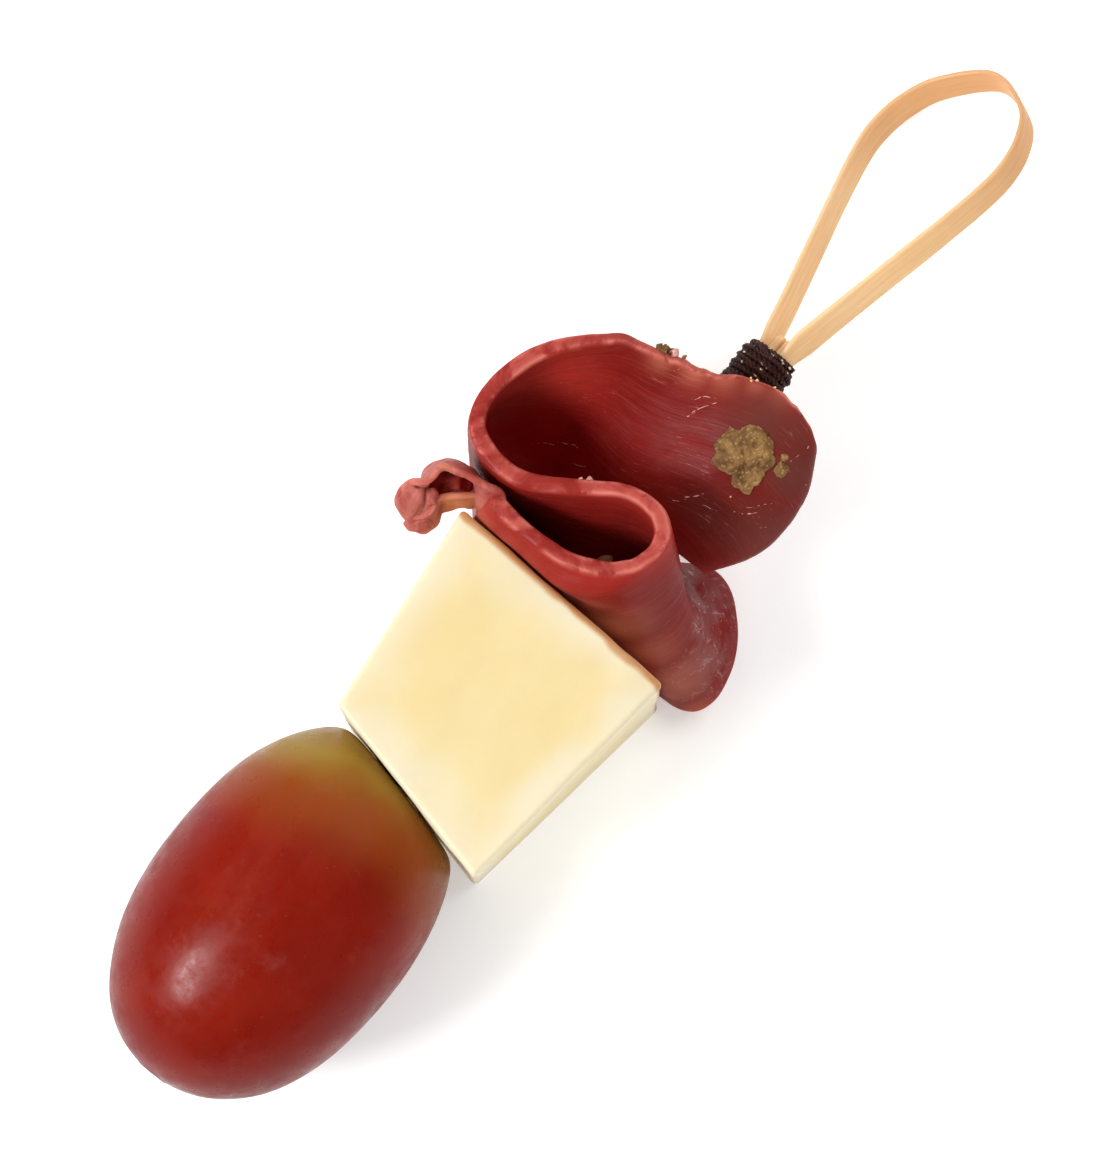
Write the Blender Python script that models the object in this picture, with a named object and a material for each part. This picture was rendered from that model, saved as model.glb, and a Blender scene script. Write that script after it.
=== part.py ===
"""Cocktail skewer: a red grape, a block of pale cheese and a folded slice of beef on a looped pick.

+X runs along the pick from the grape to the finger loop and +Z is up. The skewer lies on z = 0, and the
origin is the middle of the flat underside of the cheese.
"""
import math

import bmesh
import bpy
import numpy as np
from mathutils import Matrix, Vector

MM = 0.001
SHARP_ANGLE = math.radians(40.0)
CUT_TOLERANCE = 0.0001 * MM

# Pick: two slim tines side by side, bound to the ends of a flat strip that makes the finger loop.
PICK_HEIGHT = 10.5 * MM
TINE_RADIUS = 0.45 * MM
TINE_POINT = 2.0 * MM
TINE_POINT_RADIUS = 0.25 * TINE_RADIUS
TINE_ROUNDING = 0.4 * TINE_RADIUS
TINE_SIDES = 14
TINE_BACK_X = 35.4 * MM
TINE_TIP_X = -31.0 * MM
TINE_SPACING_BACK = 1.02 * MM
TINE_SPACING_TIP = 3.6 * MM
HOLE_CLEARANCE = 0.3 * MM

# Loop: a teardrop in one plane, rolled about the pick so that the -Y leg is the upper one. It droops
# and swings a little to +Y.
LOOP_ROLL = math.radians(41.0)
LOOP_DROOP = math.radians(11.5)
LOOP_YAW = math.radians(3.2)
STRIP_WIDTH = 2.35 * MM
STRIP_THICKNESS = 0.4 * MM
PARED_WIDTH = 1.5 * MM
LOOP_LENGTH = 28.4 * MM
LOOP_HALF_WIDTH = 6.8 * MM
LEG_OFFSET = 1.26 * MM
LEG_INSIDE_BINDING = 2.6 * MM
PARED_END = -0.4 * MM
FULL_WIDTH_START = 1.6 * MM
STRIP_CORNER = 0.07 * MM
LOOP_STEPS = 4
TANGENT_STEP = 0.05

# One leg of the teardrop: shares of the loop's length and of its half width.
LEG_SHAPE = (
    (0.10, 0.28),
    (0.30, 0.53),
    (0.50, 0.79),
    (0.64, 0.95),
    (0.74, 1.00),
    (0.84, 0.91),
    (0.93, 0.64),
)

# Binding: wraps of dark thread round the tines and the two legs.
BINDING_START_X = 29.6 * MM
BINDING_END_X = 34.0 * MM
BINDING_INNER_RADIUS = 1.76 * MM
BINDING_OUTER_RADIUS = 2.0 * MM
WRAP_DEPTH = 0.12 * MM
WRAPS = 9
BINDING_SIDES = 32

# Cheese: a block cut by hand, narrower towards the grape.
CHEESE_HEIGHT = 17.8 * MM
CHEESE_TOP_CORNERS = (
    (9.3 * MM, 9.2 * MM),
    (-7.8 * MM, 6.4 * MM),
    (-10.7 * MM, -9.6 * MM),
    (9.3 * MM, -10.6 * MM),
)
CHEESE_FLOOR_CORNERS = (
    (9.2 * MM, 9.0 * MM),
    (-7.5 * MM, 6.3 * MM),
    (-10.2 * MM, -9.0 * MM),
    (9.2 * MM, -10.5 * MM),
)
CHEESE_EDGE = 0.45 * MM
CHEESE_EDGE_STEPS = 3

# Grape: a blunt oval, settled on a small flat spot and pressed flat against the cheese.
GRAPE_HALF_LENGTH = 15.25 * MM
GRAPE_RADIUS = 10.2 * MM
GRAPE_CENTRE_X = -21.5 * MM
GRAPE_CENTRE_Y = -0.12 * MM
GRAPE_BLUNTNESS = 2.23
GRAPE_YAW = math.radians(2.7)
GRAPE_FLAT = 0.15 * MM
GRAPE_GAP = 0.3 * MM
GRAPE_RINGS = 24
GRAPE_SIDES = 36

# Beef: one slice, folded in an S with its width standing up. Each station is a line across the slice,
# from the upper cut edge to the lower one, in millimetres.
SLICE_THICKNESS = 1.25 * MM
STATION_STEPS = 3
ACROSS_STEPS = 12

TAIL = (
    ((6.8, 11.0, 14.4), (6.5, 11.8, 13.2), (7.0, 13.0, 13.6), (7.6, 13.5, 11.0)),
    ((8.3, 10.5, 16.2), (8.6, 11.4, 14.2), (9.2, 12.6, 15.2), (9.8, 13.3, 8.5)),
    ((9.5, 9.9, 17.2), (9.9, 10.9, 14.0), (10.5, 12.0, 14.6), (11.1, 12.6, 6.5)),
    ((10.6, 8.7, 17.9), (10.7, 9.6, 14.0), (11.0, 10.4, 12.0), (11.2, 11.0, 5.0)),
)
RUN_BY_CHEESE = (
    ((11.1, 7.0, 18.4), (10.8, 7.4, 13.0), (10.6, 7.8, 8.0), (10.6, 8.2, 3.0)),
    ((11.0, 4.4, 18.9), (10.6, 4.4, 13.2), (10.4, 4.4, 7.6), (10.4, 4.6, 2.0)),
    ((11.3, 1.1, 19.2), (10.6, 0.7, 13.4), (10.4, 0.0, 7.6), (10.4, -0.8, 1.7)),
    ((12.5, -1.6, 19.6), (11.1, -2.8, 13.8), (10.5, -4.4, 7.8), (10.3, -7.2, 1.6)),
)
FLARED_TURN = (
    ((14.4, -3.3, 20.0), (12.9, -5.4, 14.0), (11.9, -8.2, 8.0), (10.8, -12.3, 1.7)),
    ((16.6, -3.5, 20.2), (15.7, -5.6, 14.0), (14.5, -8.2, 8.2), (14.2, -12.6, 1.8)),
    ((17.9, -2.2, 20.3), (17.0, -3.8, 14.0), (15.6, -6.0, 8.2), (17.6, -10.4, 2.2)),
    ((17.9, 0.0, 20.2), (16.8, -1.3, 14.0), (15.0, -3.2, 8.2), (19.1, -7.0, 2.9)),
)
MIDDLE_RUN = (
    ((16.9, 2.1, 20.0), (15.1, 1.4, 14.0), (13.0, 0.2, 8.4), (15.4, -2.2, 2.8)),
    ((14.8, 4.8, 19.6), (13.9, 4.2, 13.8), (12.6, 3.4, 8.0), (12.6, 2.2, 2.4)),
    ((13.5, 7.0, 19.3), (13.0, 6.8, 13.4), (12.5, 6.4, 7.8), (12.2, 6.0, 2.2)),
    ((13.2, 9.3, 19.0), (13.0, 9.2, 13.2), (12.7, 9.0, 7.6), (12.6, 8.9, 2.1)),
)
BACK_TURN = (
    ((13.8, 11.6, 18.8), (13.7, 11.4, 12.8), (13.4, 11.1, 7.4), (13.1, 10.8, 1.9)),
    ((15.0, 12.8, 18.6), (14.9, 12.8, 12.6), (14.4, 12.4, 7.2), (13.8, 11.7, 1.8)),
    ((16.9, 13.3, 18.5), (16.7, 13.2, 12.6), (15.9, 12.4, 7.2), (14.9, 11.5, 1.8)),
    ((19.5, 13.1, 18.4), (18.8, 12.4, 12.6), (17.2, 11.2, 7.2), (15.5, 10.3, 2.0)),
)
PETAL = (
    ((22.2, 12.2, 18.2), (20.6, 10.6, 12.6), (17.8, 9.5, 7.2), (15.5, 9.0, 2.4)),
    ((25.0, 10.2, 17.9), (22.4, 8.4, 12.8), (18.5, 7.8, 7.6), (15.5, 7.5, 2.8)),
    ((26.7, 8.2, 17.6), (23.3, 6.4, 13.4), (18.9, 6.1, 8.6), (15.4, 6.0, 3.4)),
    ((27.6, 5.4, 17.3), (23.7, 4.1, 14.0), (19.0, 4.0, 9.8), (15.6, 4.5, 4.0)),
    ((28.8, 2.5, 17.0), (24.2, 1.8, 14.8), (19.2, 1.9, 11.4), (16.4, 2.7, 5.2)),
    ((30.2, 0.1, 16.8), (25.6, -0.6, 15.8), (20.1, -0.5, 13.0), (17.4, 0.6, 7.0)),
    ((31.1, -2.4, 16.8), (26.8, -3.2, 16.4), (21.6, -3.3, 14.0), (18.0, -1.8, 8.6)),
    ((31.1, -4.8, 16.4), (27.0, -6.1, 15.8), (22.2, -6.3, 13.4), (18.2, -4.2, 9.2)),
    ((30.2, -6.7, 15.3), (26.8, -8.4, 14.0), (22.3, -8.4, 11.6), (18.4, -6.0, 9.0)),
    ((29.1, -7.5, 13.4), (26.1, -8.7, 11.9), (22.1, -8.4, 9.8), (18.7, -6.4, 7.6)),
)
STATIONS = TAIL + RUN_BY_CHEESE + FLARED_TURN + MIDDLE_RUN + BACK_TURN + PETAL

# Colours (linear) and roughness of each material.
GRAPE_LOOK = ((0.28, 0.020, 0.008), 0.35)
CHEESE_LOOK = ((0.92, 0.75, 0.42), 0.5)
BEEF_LOOK = ((0.24, 0.025, 0.022), 0.38)
TINE_LOOK = ((0.80, 0.50, 0.24), 0.55)
STRIP_LOOK = ((0.82, 0.53, 0.27), 0.5)
THREAD_LOOK = ((0.045, 0.018, 0.012), 0.7)


def clear_scene():
    """Remove every object of the current scene."""
    for item in list(bpy.data.objects):
        bpy.data.objects.remove(item, do_unlink=True)


def make_material(name, look):
    """Principled material of one colour and roughness."""
    colour, roughness = look
    material = bpy.data.materials.new(name)
    material.use_nodes = True
    shader = material.node_tree.nodes["Principled BSDF"]
    shader.inputs["Base Color"].default_value = (*colour, 1.0)
    shader.inputs["Roughness"].default_value = roughness
    material.diffuse_color = (*colour, 1.0)
    return material


def add_object(name, mesh, material):
    """Link a mesh as a named object with its material."""
    item = bpy.data.objects.new(name, mesh)
    bpy.context.collection.objects.link(item)
    if material is not None:
        mesh.materials.append(material)
    return item


def mesh_from(name, build):
    """Mesh filled by a bmesh building function, faces pointing out, shaded smooth."""
    shape = bmesh.new()
    build(shape)
    bmesh.ops.recalc_face_normals(shape, faces=shape.faces)
    mesh = bpy.data.meshes.new(name)
    shape.to_mesh(mesh)
    shape.free()
    mesh.shade_smooth()
    mesh.set_sharp_from_angle(angle=SHARP_ANGLE)
    return mesh


def skin_rings(shape, rings, closed_ends=True):
    """Join equal rings of points into a tube, with flat caps."""
    loops = [[shape.verts.new(point) for point in ring] for ring in rings]
    count = len(loops[0])
    for near, far in zip(loops, loops[1:]):
        for index in range(count):
            after = (index + 1) % count
            shape.faces.new((near[index], near[after], far[after], far[index]))
    if closed_ends:
        shape.faces.new(loops[0])
        shape.faces.new(loops[-1])
    return loops


def curve_through(points, position):
    """Point on the smooth curve through a row of points, at a fractional index."""
    last = len(points) - 1
    index = min(int(position), last - 1)
    step = position - index
    inner_a, inner_b = points[index], points[index + 1]
    outer_a = points[index - 1] if index > 0 else 2.0 * inner_a - inner_b
    outer_b = points[index + 2] if index + 2 <= last else 2.0 * inner_b - inner_a
    slope_a = 0.5 * (inner_b - outer_a)
    slope_b = 0.5 * (outer_b - inner_a)
    return (
        (2.0 * step**3 - 3.0 * step**2 + 1.0) * inner_a
        + (step**3 - 2.0 * step**2 + step) * slope_a
        + (3.0 * step**2 - 2.0 * step**3) * inner_b
        + (step**3 - step**2) * slope_b
    )


def roll_direction():
    """Direction in which the two legs and the two tines sit side by side."""
    return Vector((0.0, -math.cos(LOOP_ROLL), math.sin(LOOP_ROLL)))


def tine_ends(side):
    """Back end and tip of a tine; side is +1 for the upper one and -1 for the lower one."""
    across = roll_direction()
    back = Vector((TINE_BACK_X, 0.0, PICK_HEIGHT)) + across * (0.5 * side * TINE_SPACING_BACK)
    tip = Vector((TINE_TIP_X, 0.0, PICK_HEIGHT)) + across * (0.5 * side * TINE_SPACING_TIP)
    return back, tip


def rod_rings(start, end, stops, sides):
    """Rings of a round rod; stops are pairs of distance from the start and radius."""
    along = (end - start).normalized()
    turn = along.to_track_quat("Z", "Y").to_matrix()
    rings = []
    for distance, radius in stops:
        centre = start + along * distance
        ring = []
        for index in range(sides):
            angle = math.tau * index / sides
            ring.append(centre + turn @ Vector((radius * math.cos(angle), radius * math.sin(angle), 0.0)))
        rings.append(ring)
    return rings


def make_tine(name, side, material):
    """Slim round tine with a rounded back end and a sharpened tip."""
    back, tip = tine_ends(side)
    length = (tip - back).length
    chamfer = 0.3 * TINE_ROUNDING
    stops = (
        (0.0, TINE_RADIUS - TINE_ROUNDING),
        (chamfer, TINE_RADIUS - chamfer),
        (TINE_ROUNDING, TINE_RADIUS),
        (length - TINE_POINT, TINE_RADIUS),
        (length, TINE_POINT_RADIUS),
    )
    mesh = mesh_from(name, lambda shape: skin_rings(shape, rod_rings(back, tip, stops, TINE_SIDES)))
    return add_object(name, mesh, material)


def make_hole_cutter(side):
    """Round cutter along a tine, wider than it by the clearance."""
    back, tip = tine_ends(side)
    along = (tip - back).normalized()
    end = tip + along * HOLE_CLEARANCE
    radius = TINE_RADIUS + HOLE_CLEARANCE
    stops = ((0.0, radius), ((end - back).length, radius))
    rings = rod_rings(back, end, stops, TINE_SIDES)
    mesh = mesh_from("hole_cutter", lambda shape: skin_rings(shape, rings))
    cutter = add_object("hole_cutter", mesh, None)
    cutter.hide_render = True
    cutter.display_type = "WIRE"
    return cutter


def pierce(item, cutters):
    """Cut the tines' holes through a piece of food."""
    for cutter in cutters:
        cut = item.modifiers.new("tine_hole", "BOOLEAN")
        cut.operation = "DIFFERENCE"
        cut.solver = "EXACT"
        cut.object = cutter


def make_cheese(material):
    """Block with four upright sides, its edges slightly rounded."""
    def build(shape):
        floor_ring = [(x, y, 0.0) for x, y in CHEESE_FLOOR_CORNERS]
        top_ring = [(x, y, CHEESE_HEIGHT) for x, y in CHEESE_TOP_CORNERS]
        skin_rings(shape, (floor_ring, top_ring))
        bmesh.ops.bevel(
            shape,
            geom=list(shape.edges),
            offset=CHEESE_EDGE,
            segments=CHEESE_EDGE_STEPS,
            profile=0.5,
            affect="EDGES",
        )

    return add_object("cheese", mesh_from("cheese", build), material)


def cheese_end_plane():
    """Point and outward normal of the cheese's face towards the grape."""
    left = Vector((*CHEESE_TOP_CORNERS[1], 0.0))
    right = Vector((*CHEESE_TOP_CORNERS[2], 0.0))
    along = (right - left).normalized()
    return left, Vector((along.y, -along.x, 0.0))


def grape_radius_at(share):
    """Radius of the grape at a share of its half length, from -1 to 1."""
    return GRAPE_RADIUS * max(0.0, 1.0 - abs(share) ** GRAPE_BLUNTNESS) ** (1.0 / GRAPE_BLUNTNESS)


def make_grape(material):
    """Blunt oval turned about the pick, cut flat where it rests and where it meets the cheese."""
    centre = Vector((GRAPE_CENTRE_X, GRAPE_CENTRE_Y, GRAPE_RADIUS - GRAPE_FLAT))
    yaw = Matrix.Rotation(GRAPE_YAW, 3, "Z")

    def build(shape):
        rings = []
        for step in range(1, GRAPE_RINGS):
            share = -math.cos(math.pi * step / GRAPE_RINGS)
            radius = grape_radius_at(share)
            ring = []
            for index in range(GRAPE_SIDES):
                angle = math.tau * index / GRAPE_SIDES
                offset = (share * GRAPE_HALF_LENGTH, radius * math.cos(angle), radius * math.sin(angle))
                ring.append(centre + yaw @ Vector(offset))
            rings.append(ring)
        skin_rings(shape, rings)
        point, normal = cheese_end_plane()
        cut_flat(shape, point + normal * GRAPE_GAP, -normal)
        cut_flat(shape, Vector((0.0, 0.0, 0.0)), Vector((0.0, 0.0, -1.0)))

    return add_object("grape", mesh_from("grape", build), material)


def cut_flat(shape, point, outside):
    """Slice a closed shape by a plane, remove the outer part and cap the cut."""
    cut = bmesh.ops.bisect_plane(
        shape,
        geom=list(shape.verts) + list(shape.edges) + list(shape.faces),
        dist=CUT_TOLERANCE,
        plane_co=point,
        plane_no=outside,
        clear_outer=True,
    )
    edges = [item for item in cut["geom_cut"] if isinstance(item, bmesh.types.BMEdge)]
    bmesh.ops.holes_fill(shape, edges=edges, sides=0)


def slice_point(along, across):
    """Point of the slice's middle surface; along runs over the stations, across from 0 to 1."""
    rows = [np.array(station) for station in STATIONS]
    line = curve_through(rows, along)
    return Vector(curve_through(list(line), across * (len(line) - 1))) * MM


def make_beef(material):
    """Slice of cured beef: the folded middle surface, thickened both ways."""
    along_count = STATION_STEPS * (len(STATIONS) - 1)

    def build(shape):
        rows = []
        for i in range(along_count + 1):
            row = []
            for j in range(ACROSS_STEPS + 1):
                row.append(shape.verts.new(slice_point(i / STATION_STEPS, j / ACROSS_STEPS)))
            rows.append(row)
        for near, far in zip(rows, rows[1:]):
            for j in range(ACROSS_STEPS):
                shape.faces.new((near[j], near[j + 1], far[j + 1], far[j]))

    item = add_object("beef_slice", mesh_from("beef_slice", build), material)
    thicken = item.modifiers.new("slice_thickness", "SOLIDIFY")
    thicken.thickness = SLICE_THICKNESS
    thicken.offset = 0.0
    thicken.use_even_offset = True
    return item


def loop_outline():
    """Middle line of the loop's strip in its own plane, from one bound end round to the other."""
    leg = [(-LEG_INSIDE_BINDING, LEG_OFFSET), (0.0, LEG_OFFSET)]
    leg += [(u * LOOP_LENGTH, v * LOOP_HALF_WIDTH) for u, v in LEG_SHAPE]
    tip = [(LOOP_LENGTH, 0.0)]
    other_leg = [(u, -v) for u, v in reversed(leg)]
    return [np.array(point) for point in leg + tip + other_leg]


def strip_section(half_width):
    """Outline of the strip across its length, as offsets along its width and its thickness."""
    half_depth = 0.5 * STRIP_THICKNESS
    inner_width = half_width - STRIP_CORNER
    inner_depth = half_depth - STRIP_CORNER
    return (
        (half_width, inner_depth),
        (inner_width, half_depth),
        (-inner_width, half_depth),
        (-half_width, inner_depth),
        (-half_width, -inner_depth),
        (-inner_width, -half_depth),
        (inner_width, -half_depth),
        (half_width, -inner_depth),
    )


def half_width_at(distance):
    """Half width of the strip at a distance ahead of the binding."""
    widen = (distance - PARED_END) / (FULL_WIDTH_START - PARED_END)
    return 0.5 * (PARED_WIDTH + (STRIP_WIDTH - PARED_WIDTH) * min(1.0, max(0.0, widen)))


def make_loop(material):
    """Flat strip bent into a teardrop, its width square to the loop's plane and its ends pared narrow."""
    outline = loop_outline()
    lean = Matrix.Rotation(LOOP_YAW, 3, "Z") @ Matrix.Rotation(LOOP_DROOP, 3, "Y")
    pick_way = Vector((1.0, 0.0, 0.0))
    along = lean @ pick_way
    across = lean @ roll_direction()
    width_way = along.cross(across).normalized()
    root = Vector((BINDING_END_X, 0.0, PICK_HEIGHT))

    def build(shape):
        rings = []
        last = len(outline) - 1
        for step in range(LOOP_STEPS * last + 1):
            place = step / LOOP_STEPS
            here = curve_through(outline, place)
            ahead = curve_through(outline, min(place + TANGENT_STEP, last))
            behind = curve_through(outline, max(place - TANGENT_STEP, 0.0))
            tangent = (ahead - behind) / np.linalg.norm(ahead - behind)
            side = along * -tangent[1] + across * tangent[0]
            if here[0] <= 0.0:
                centre = root + pick_way * here[0] + roll_direction() * here[1]
            else:
                centre = root + along * here[0] + across * here[1]
            section = strip_section(half_width_at(here[0]))
            rings.append([centre + width_way * w + side * d for w, d in section])
        skin_rings(shape, rings)

    return add_object("loop_strip", mesh_from("loop_strip", build), material)


def make_binding(material):
    """Turned sleeve with one ridge for each wrap of thread."""
    length = BINDING_END_X - BINDING_START_X
    crown_radius = BINDING_OUTER_RADIUS + 0.5 * WRAP_DEPTH
    valley_radius = BINDING_OUTER_RADIUS - 0.5 * WRAP_DEPTH
    start = Vector((BINDING_START_X, 0.0, PICK_HEIGHT))
    profile = [(0.0, BINDING_INNER_RADIUS), (0.0, valley_radius)]
    for wrap in range(WRAPS):
        profile.append(((wrap + 0.5) / WRAPS * length, crown_radius))
        profile.append(((wrap + 1.0) / WRAPS * length, valley_radius))
    profile.append((length, BINDING_INNER_RADIUS))

    def build(shape):
        rings = []
        for distance, radius in profile:
            ring = []
            for index in range(BINDING_SIDES):
                angle = math.tau * index / BINDING_SIDES
                ring.append(start + Vector((distance, radius * math.cos(angle), radius * math.sin(angle))))
            rings.append(ring)
        loops = skin_rings(shape, rings, closed_ends=False)
        for index in range(BINDING_SIDES):
            after = (index + 1) % BINDING_SIDES
            shape.faces.new((loops[-1][index], loops[-1][after], loops[0][after], loops[0][index]))

    return add_object("thread_binding", mesh_from("thread_binding", build), material)


def main():
    """Build the whole skewer."""
    clear_scene()
    cutters = [make_hole_cutter(1), make_hole_cutter(-1)]
    grape = make_grape(make_material("grape_skin", GRAPE_LOOK))
    cheese = make_cheese(make_material("pale_cheese", CHEESE_LOOK))
    beef = make_beef(make_material("cured_beef", BEEF_LOOK))
    for food in (grape, cheese, beef):
        pierce(food, cutters)
    make_tine("tine_a", 1, make_material("tine_a_bamboo", TINE_LOOK))
    make_tine("tine_b", -1, make_material("tine_b_bamboo", TINE_LOOK))
    make_loop(make_material("bamboo_strip", STRIP_LOOK))
    make_binding(make_material("brown_thread", THREAD_LOOK))


main()
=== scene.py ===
"""Looks of the cocktail skewer: grape, cheese and folded cured beef on a looped bamboo pick.

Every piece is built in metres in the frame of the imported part: +X runs along the pick from the grape to
the finger loop, +Z is up and the skewer lies on z = 0. Shapes are worked out in millimetres.
"""
import math

import bmesh
import bpy
import numpy as np
from mathutils import Matrix, Vector
from mathutils.kdtree import KDTree


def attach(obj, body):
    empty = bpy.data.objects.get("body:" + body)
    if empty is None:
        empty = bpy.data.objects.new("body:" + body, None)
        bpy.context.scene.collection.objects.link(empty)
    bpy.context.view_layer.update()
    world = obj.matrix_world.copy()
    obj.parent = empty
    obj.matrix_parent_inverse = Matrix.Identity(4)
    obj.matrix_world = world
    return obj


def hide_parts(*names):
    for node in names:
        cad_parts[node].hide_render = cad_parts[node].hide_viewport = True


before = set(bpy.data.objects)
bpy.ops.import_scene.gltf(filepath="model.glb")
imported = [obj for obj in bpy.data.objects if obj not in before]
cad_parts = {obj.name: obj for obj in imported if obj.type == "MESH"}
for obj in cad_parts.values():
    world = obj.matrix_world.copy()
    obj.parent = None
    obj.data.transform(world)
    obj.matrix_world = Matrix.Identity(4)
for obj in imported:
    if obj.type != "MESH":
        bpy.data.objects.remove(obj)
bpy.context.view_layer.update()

MM = 0.001

# ---- Sizes that the looks share with the part, in millimetres and degrees ----

PICK_HEIGHT = 10.5
TINE_RADIUS = 0.45
TINE_BACK_X = 35.4
TINE_TIP_X = -31
TINE_SPACING_BACK = 1.02
TINE_SPACING_TIP = 3.6

LOOP_ROLL = math.radians(41)
LOOP_DROOP = math.radians(11.5)
LOOP_YAW = math.radians(3.2)
STRIP_WIDTH = 2.35
STRIP_THICKNESS = 0.4
PARED_WIDTH = 1.5
LOOP_LENGTH = 28.4
LOOP_HALF_WIDTH = 6.8
LEG_OFFSET = 1.26
LEG_INSIDE_BINDING = 2.6
BROWNED_FROM_X = 44
BROWNED_TO_X = 62

BINDING_START_X = 29.6
BINDING_END_X = 34
BINDING_RADIUS = 1.86

CHEESE_HEIGHT = 17.8
CHEESE_TOP_CORNERS = ((9.3, 9.2), (-7.8, 6.4), (-10.7, -9.6), (9.3, -10.6))
CHEESE_FLOOR_CORNERS = ((9.2, 9), (-7.5, 6.3), (-10.2, -9), (9.2, -10.5))
CHEESE_BEEF_FACE_X = 9.3
WORN_CORNER = (9, -10.2, 17.4)

GRAPE_HALF_LENGTH = 15.25
GRAPE_RADIUS = 10.2
GRAPE_CENTRE_X = -21.5
GRAPE_CENTRE_Y = -0.12
GRAPE_BLUNTNESS = 2.23
GRAPE_YAW = math.radians(2.7)
GRAPE_FLAT = 0.15
# Less than nothing: the berry reaches this far into the cheese, so that no gap shows.
GRAPE_GAP = -0.06

SLICE_THICKNESS = 1.25
SLICE_ROWS = 540
SLICE_COLUMNS = 92
RIM_COLUMNS = 5
SWELL_LIMIT_X = 9.40

# How things settle on the slice: points searched round a place, their blur and how far below the top they may
# lie.
SETTLE_REACH = 0.30
SETTLE_BLUR = 0.13
SETTLE_DEPTH = 0.75

# The slice of beef: lines across it from its upper cut edge to its lower one, as in the part.
TAIL = (
    ((11.2, 8.9, 15.9), (11, 8.6, 15.5), (10.9, 8.4, 15.1), (10.7, 8.2, 14.6)),
    ((10.4, 10, 15.6), (10.3, 9.8, 15.1), (10.1, 9.5, 14.7), (9.9, 9.3, 14.2)),
    ((9.6, 10.7, 15.2), (9.5, 10.5, 14.8), (9.3, 10.3, 14.4), (9.1, 10, 13.9)),
    ((8.8, 11.2, 15.2), (8.7, 11, 14.8), (8.5, 10.8, 14.3), (8.3, 10.6, 13.8)),
    ((7.9, 11.2, 15.4), (7.8, 10.9, 14.6), (7.6, 10.6, 13.8), (7.4, 10.4, 12.9)),
    ((6.9, 11.5, 15), (6.8, 11.3, 14), (6.6, 11.1, 13), (6.5, 10.9, 12)),
    ((6.7, 12.6, 15), (6.6, 12.6, 14), (6.6, 12.6, 13), (6.6, 12.6, 12)),
    ((7.2, 13.5, 15.2), (7.2, 13.6, 14.1), (7.3, 13.7, 13), (7.3, 13.7, 12)),
    ((8.2, 13.2, 15.8), (8.3, 13.3, 14.7), (8.3, 13.5, 13.5), (8.4, 13.6, 12.4)),
    ((8.9, 12.4, 16.4), (8.9, 12.5, 14.9), (8.9, 12.7, 13.4), (8.9, 12.8, 12)),
    ((9.7, 12.2, 16.9), (9.8, 12.8, 15.4), (9.9, 13.2, 13.4), (9.9, 13.4, 11.4)),
    ((10.6, 11.8, 17.3), (11, 12.4, 15.6), (11.3, 12.8, 13), (11.4, 12.9, 10.6)),
    ((11.2, 10.6, 17.5), (11.7, 11.1, 15.4), (11.9, 11.4, 12.4), (12, 11.5, 9.6)),
    ((11.4, 9.2, 17.7), (11.7, 9.5, 14.8), (11.8, 9.7, 11.2), (11.8, 9.8, 7.6)),
    ((11.7, 7.9, 17.9), (11.6, 8.1, 13.8), (11.5, 8.2, 9.6), (11.4, 8.4, 5.5)),
)
RUN_BY_CHEESE = (
    ((11.1, 7, 18.4), (10.8, 7.4, 13), (10.6, 7.8, 8), (10.6, 8.2, 3)),
    ((11, 4.4, 18.9), (10.6, 4.4, 13.2), (10.4, 4.4, 7.6), (10.4, 4.6, 2)),
    ((11.3, 1.1, 19.2), (10.6, 0.7, 13.4), (10.4, 0, 7.6), (10.4, -0.8, 1.7)),
    ((12.5, -1.6, 19.6), (11.1, -2.8, 13.8), (10.5, -4.4, 7.8), (10.3, -7.2, 1.6)),
)
FLARED_TURN = (
    ((14.4, -3.3, 20), (12.9, -5.4, 14), (11.9, -8.2, 8), (10.8, -12.3, 1.7)),
    ((16.6, -3.5, 20.2), (15.7, -5.6, 14), (14.5, -8.2, 8.2), (14.2, -12.6, 1.8)),
    ((17.9, -2.2, 20.3), (17, -3.8, 14), (15.6, -6, 8.2), (17.6, -10.4, 2.2)),
    ((17.9, 0, 20.2), (16.8, -1.3, 14), (15, -3.2, 8.2), (19.1, -7, 2.9)),
)
MIDDLE_RUN = (
    ((16.9, 2.1, 20), (15.1, 1.4, 14), (13, 0.2, 8.4), (15.4, -2.2, 2.8)),
    ((14.8, 4.8, 19.6), (13.9, 4.2, 13.8), (12.6, 3.4, 8), (12.6, 2.2, 2.4)),
    ((13.5, 7, 19.3), (13, 6.8, 13.4), (12.5, 6.4, 7.8), (12.2, 6, 2.2)),
    ((13.2, 9.3, 19), (13, 9.2, 13.2), (12.7, 9, 7.6), (12.6, 8.9, 2.1)),
)
BACK_TURN = (
    ((13.8, 11.6, 18.8), (13.7, 11.4, 12.8), (13.4, 11.1, 7.4), (13.1, 10.8, 1.9)),
    ((15, 12.8, 18.6), (14.9, 12.8, 12.6), (14.4, 12.4, 7.2), (13.8, 11.7, 1.8)),
    ((16.9, 13.3, 18.5), (16.7, 13.2, 12.6), (15.9, 12.4, 7.2), (14.9, 11.5, 1.8)),
    ((19.5, 13.1, 18.4), (18.8, 12.4, 12.6), (17.2, 11.2, 7.2), (15.5, 10.3, 2)),
)
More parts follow.
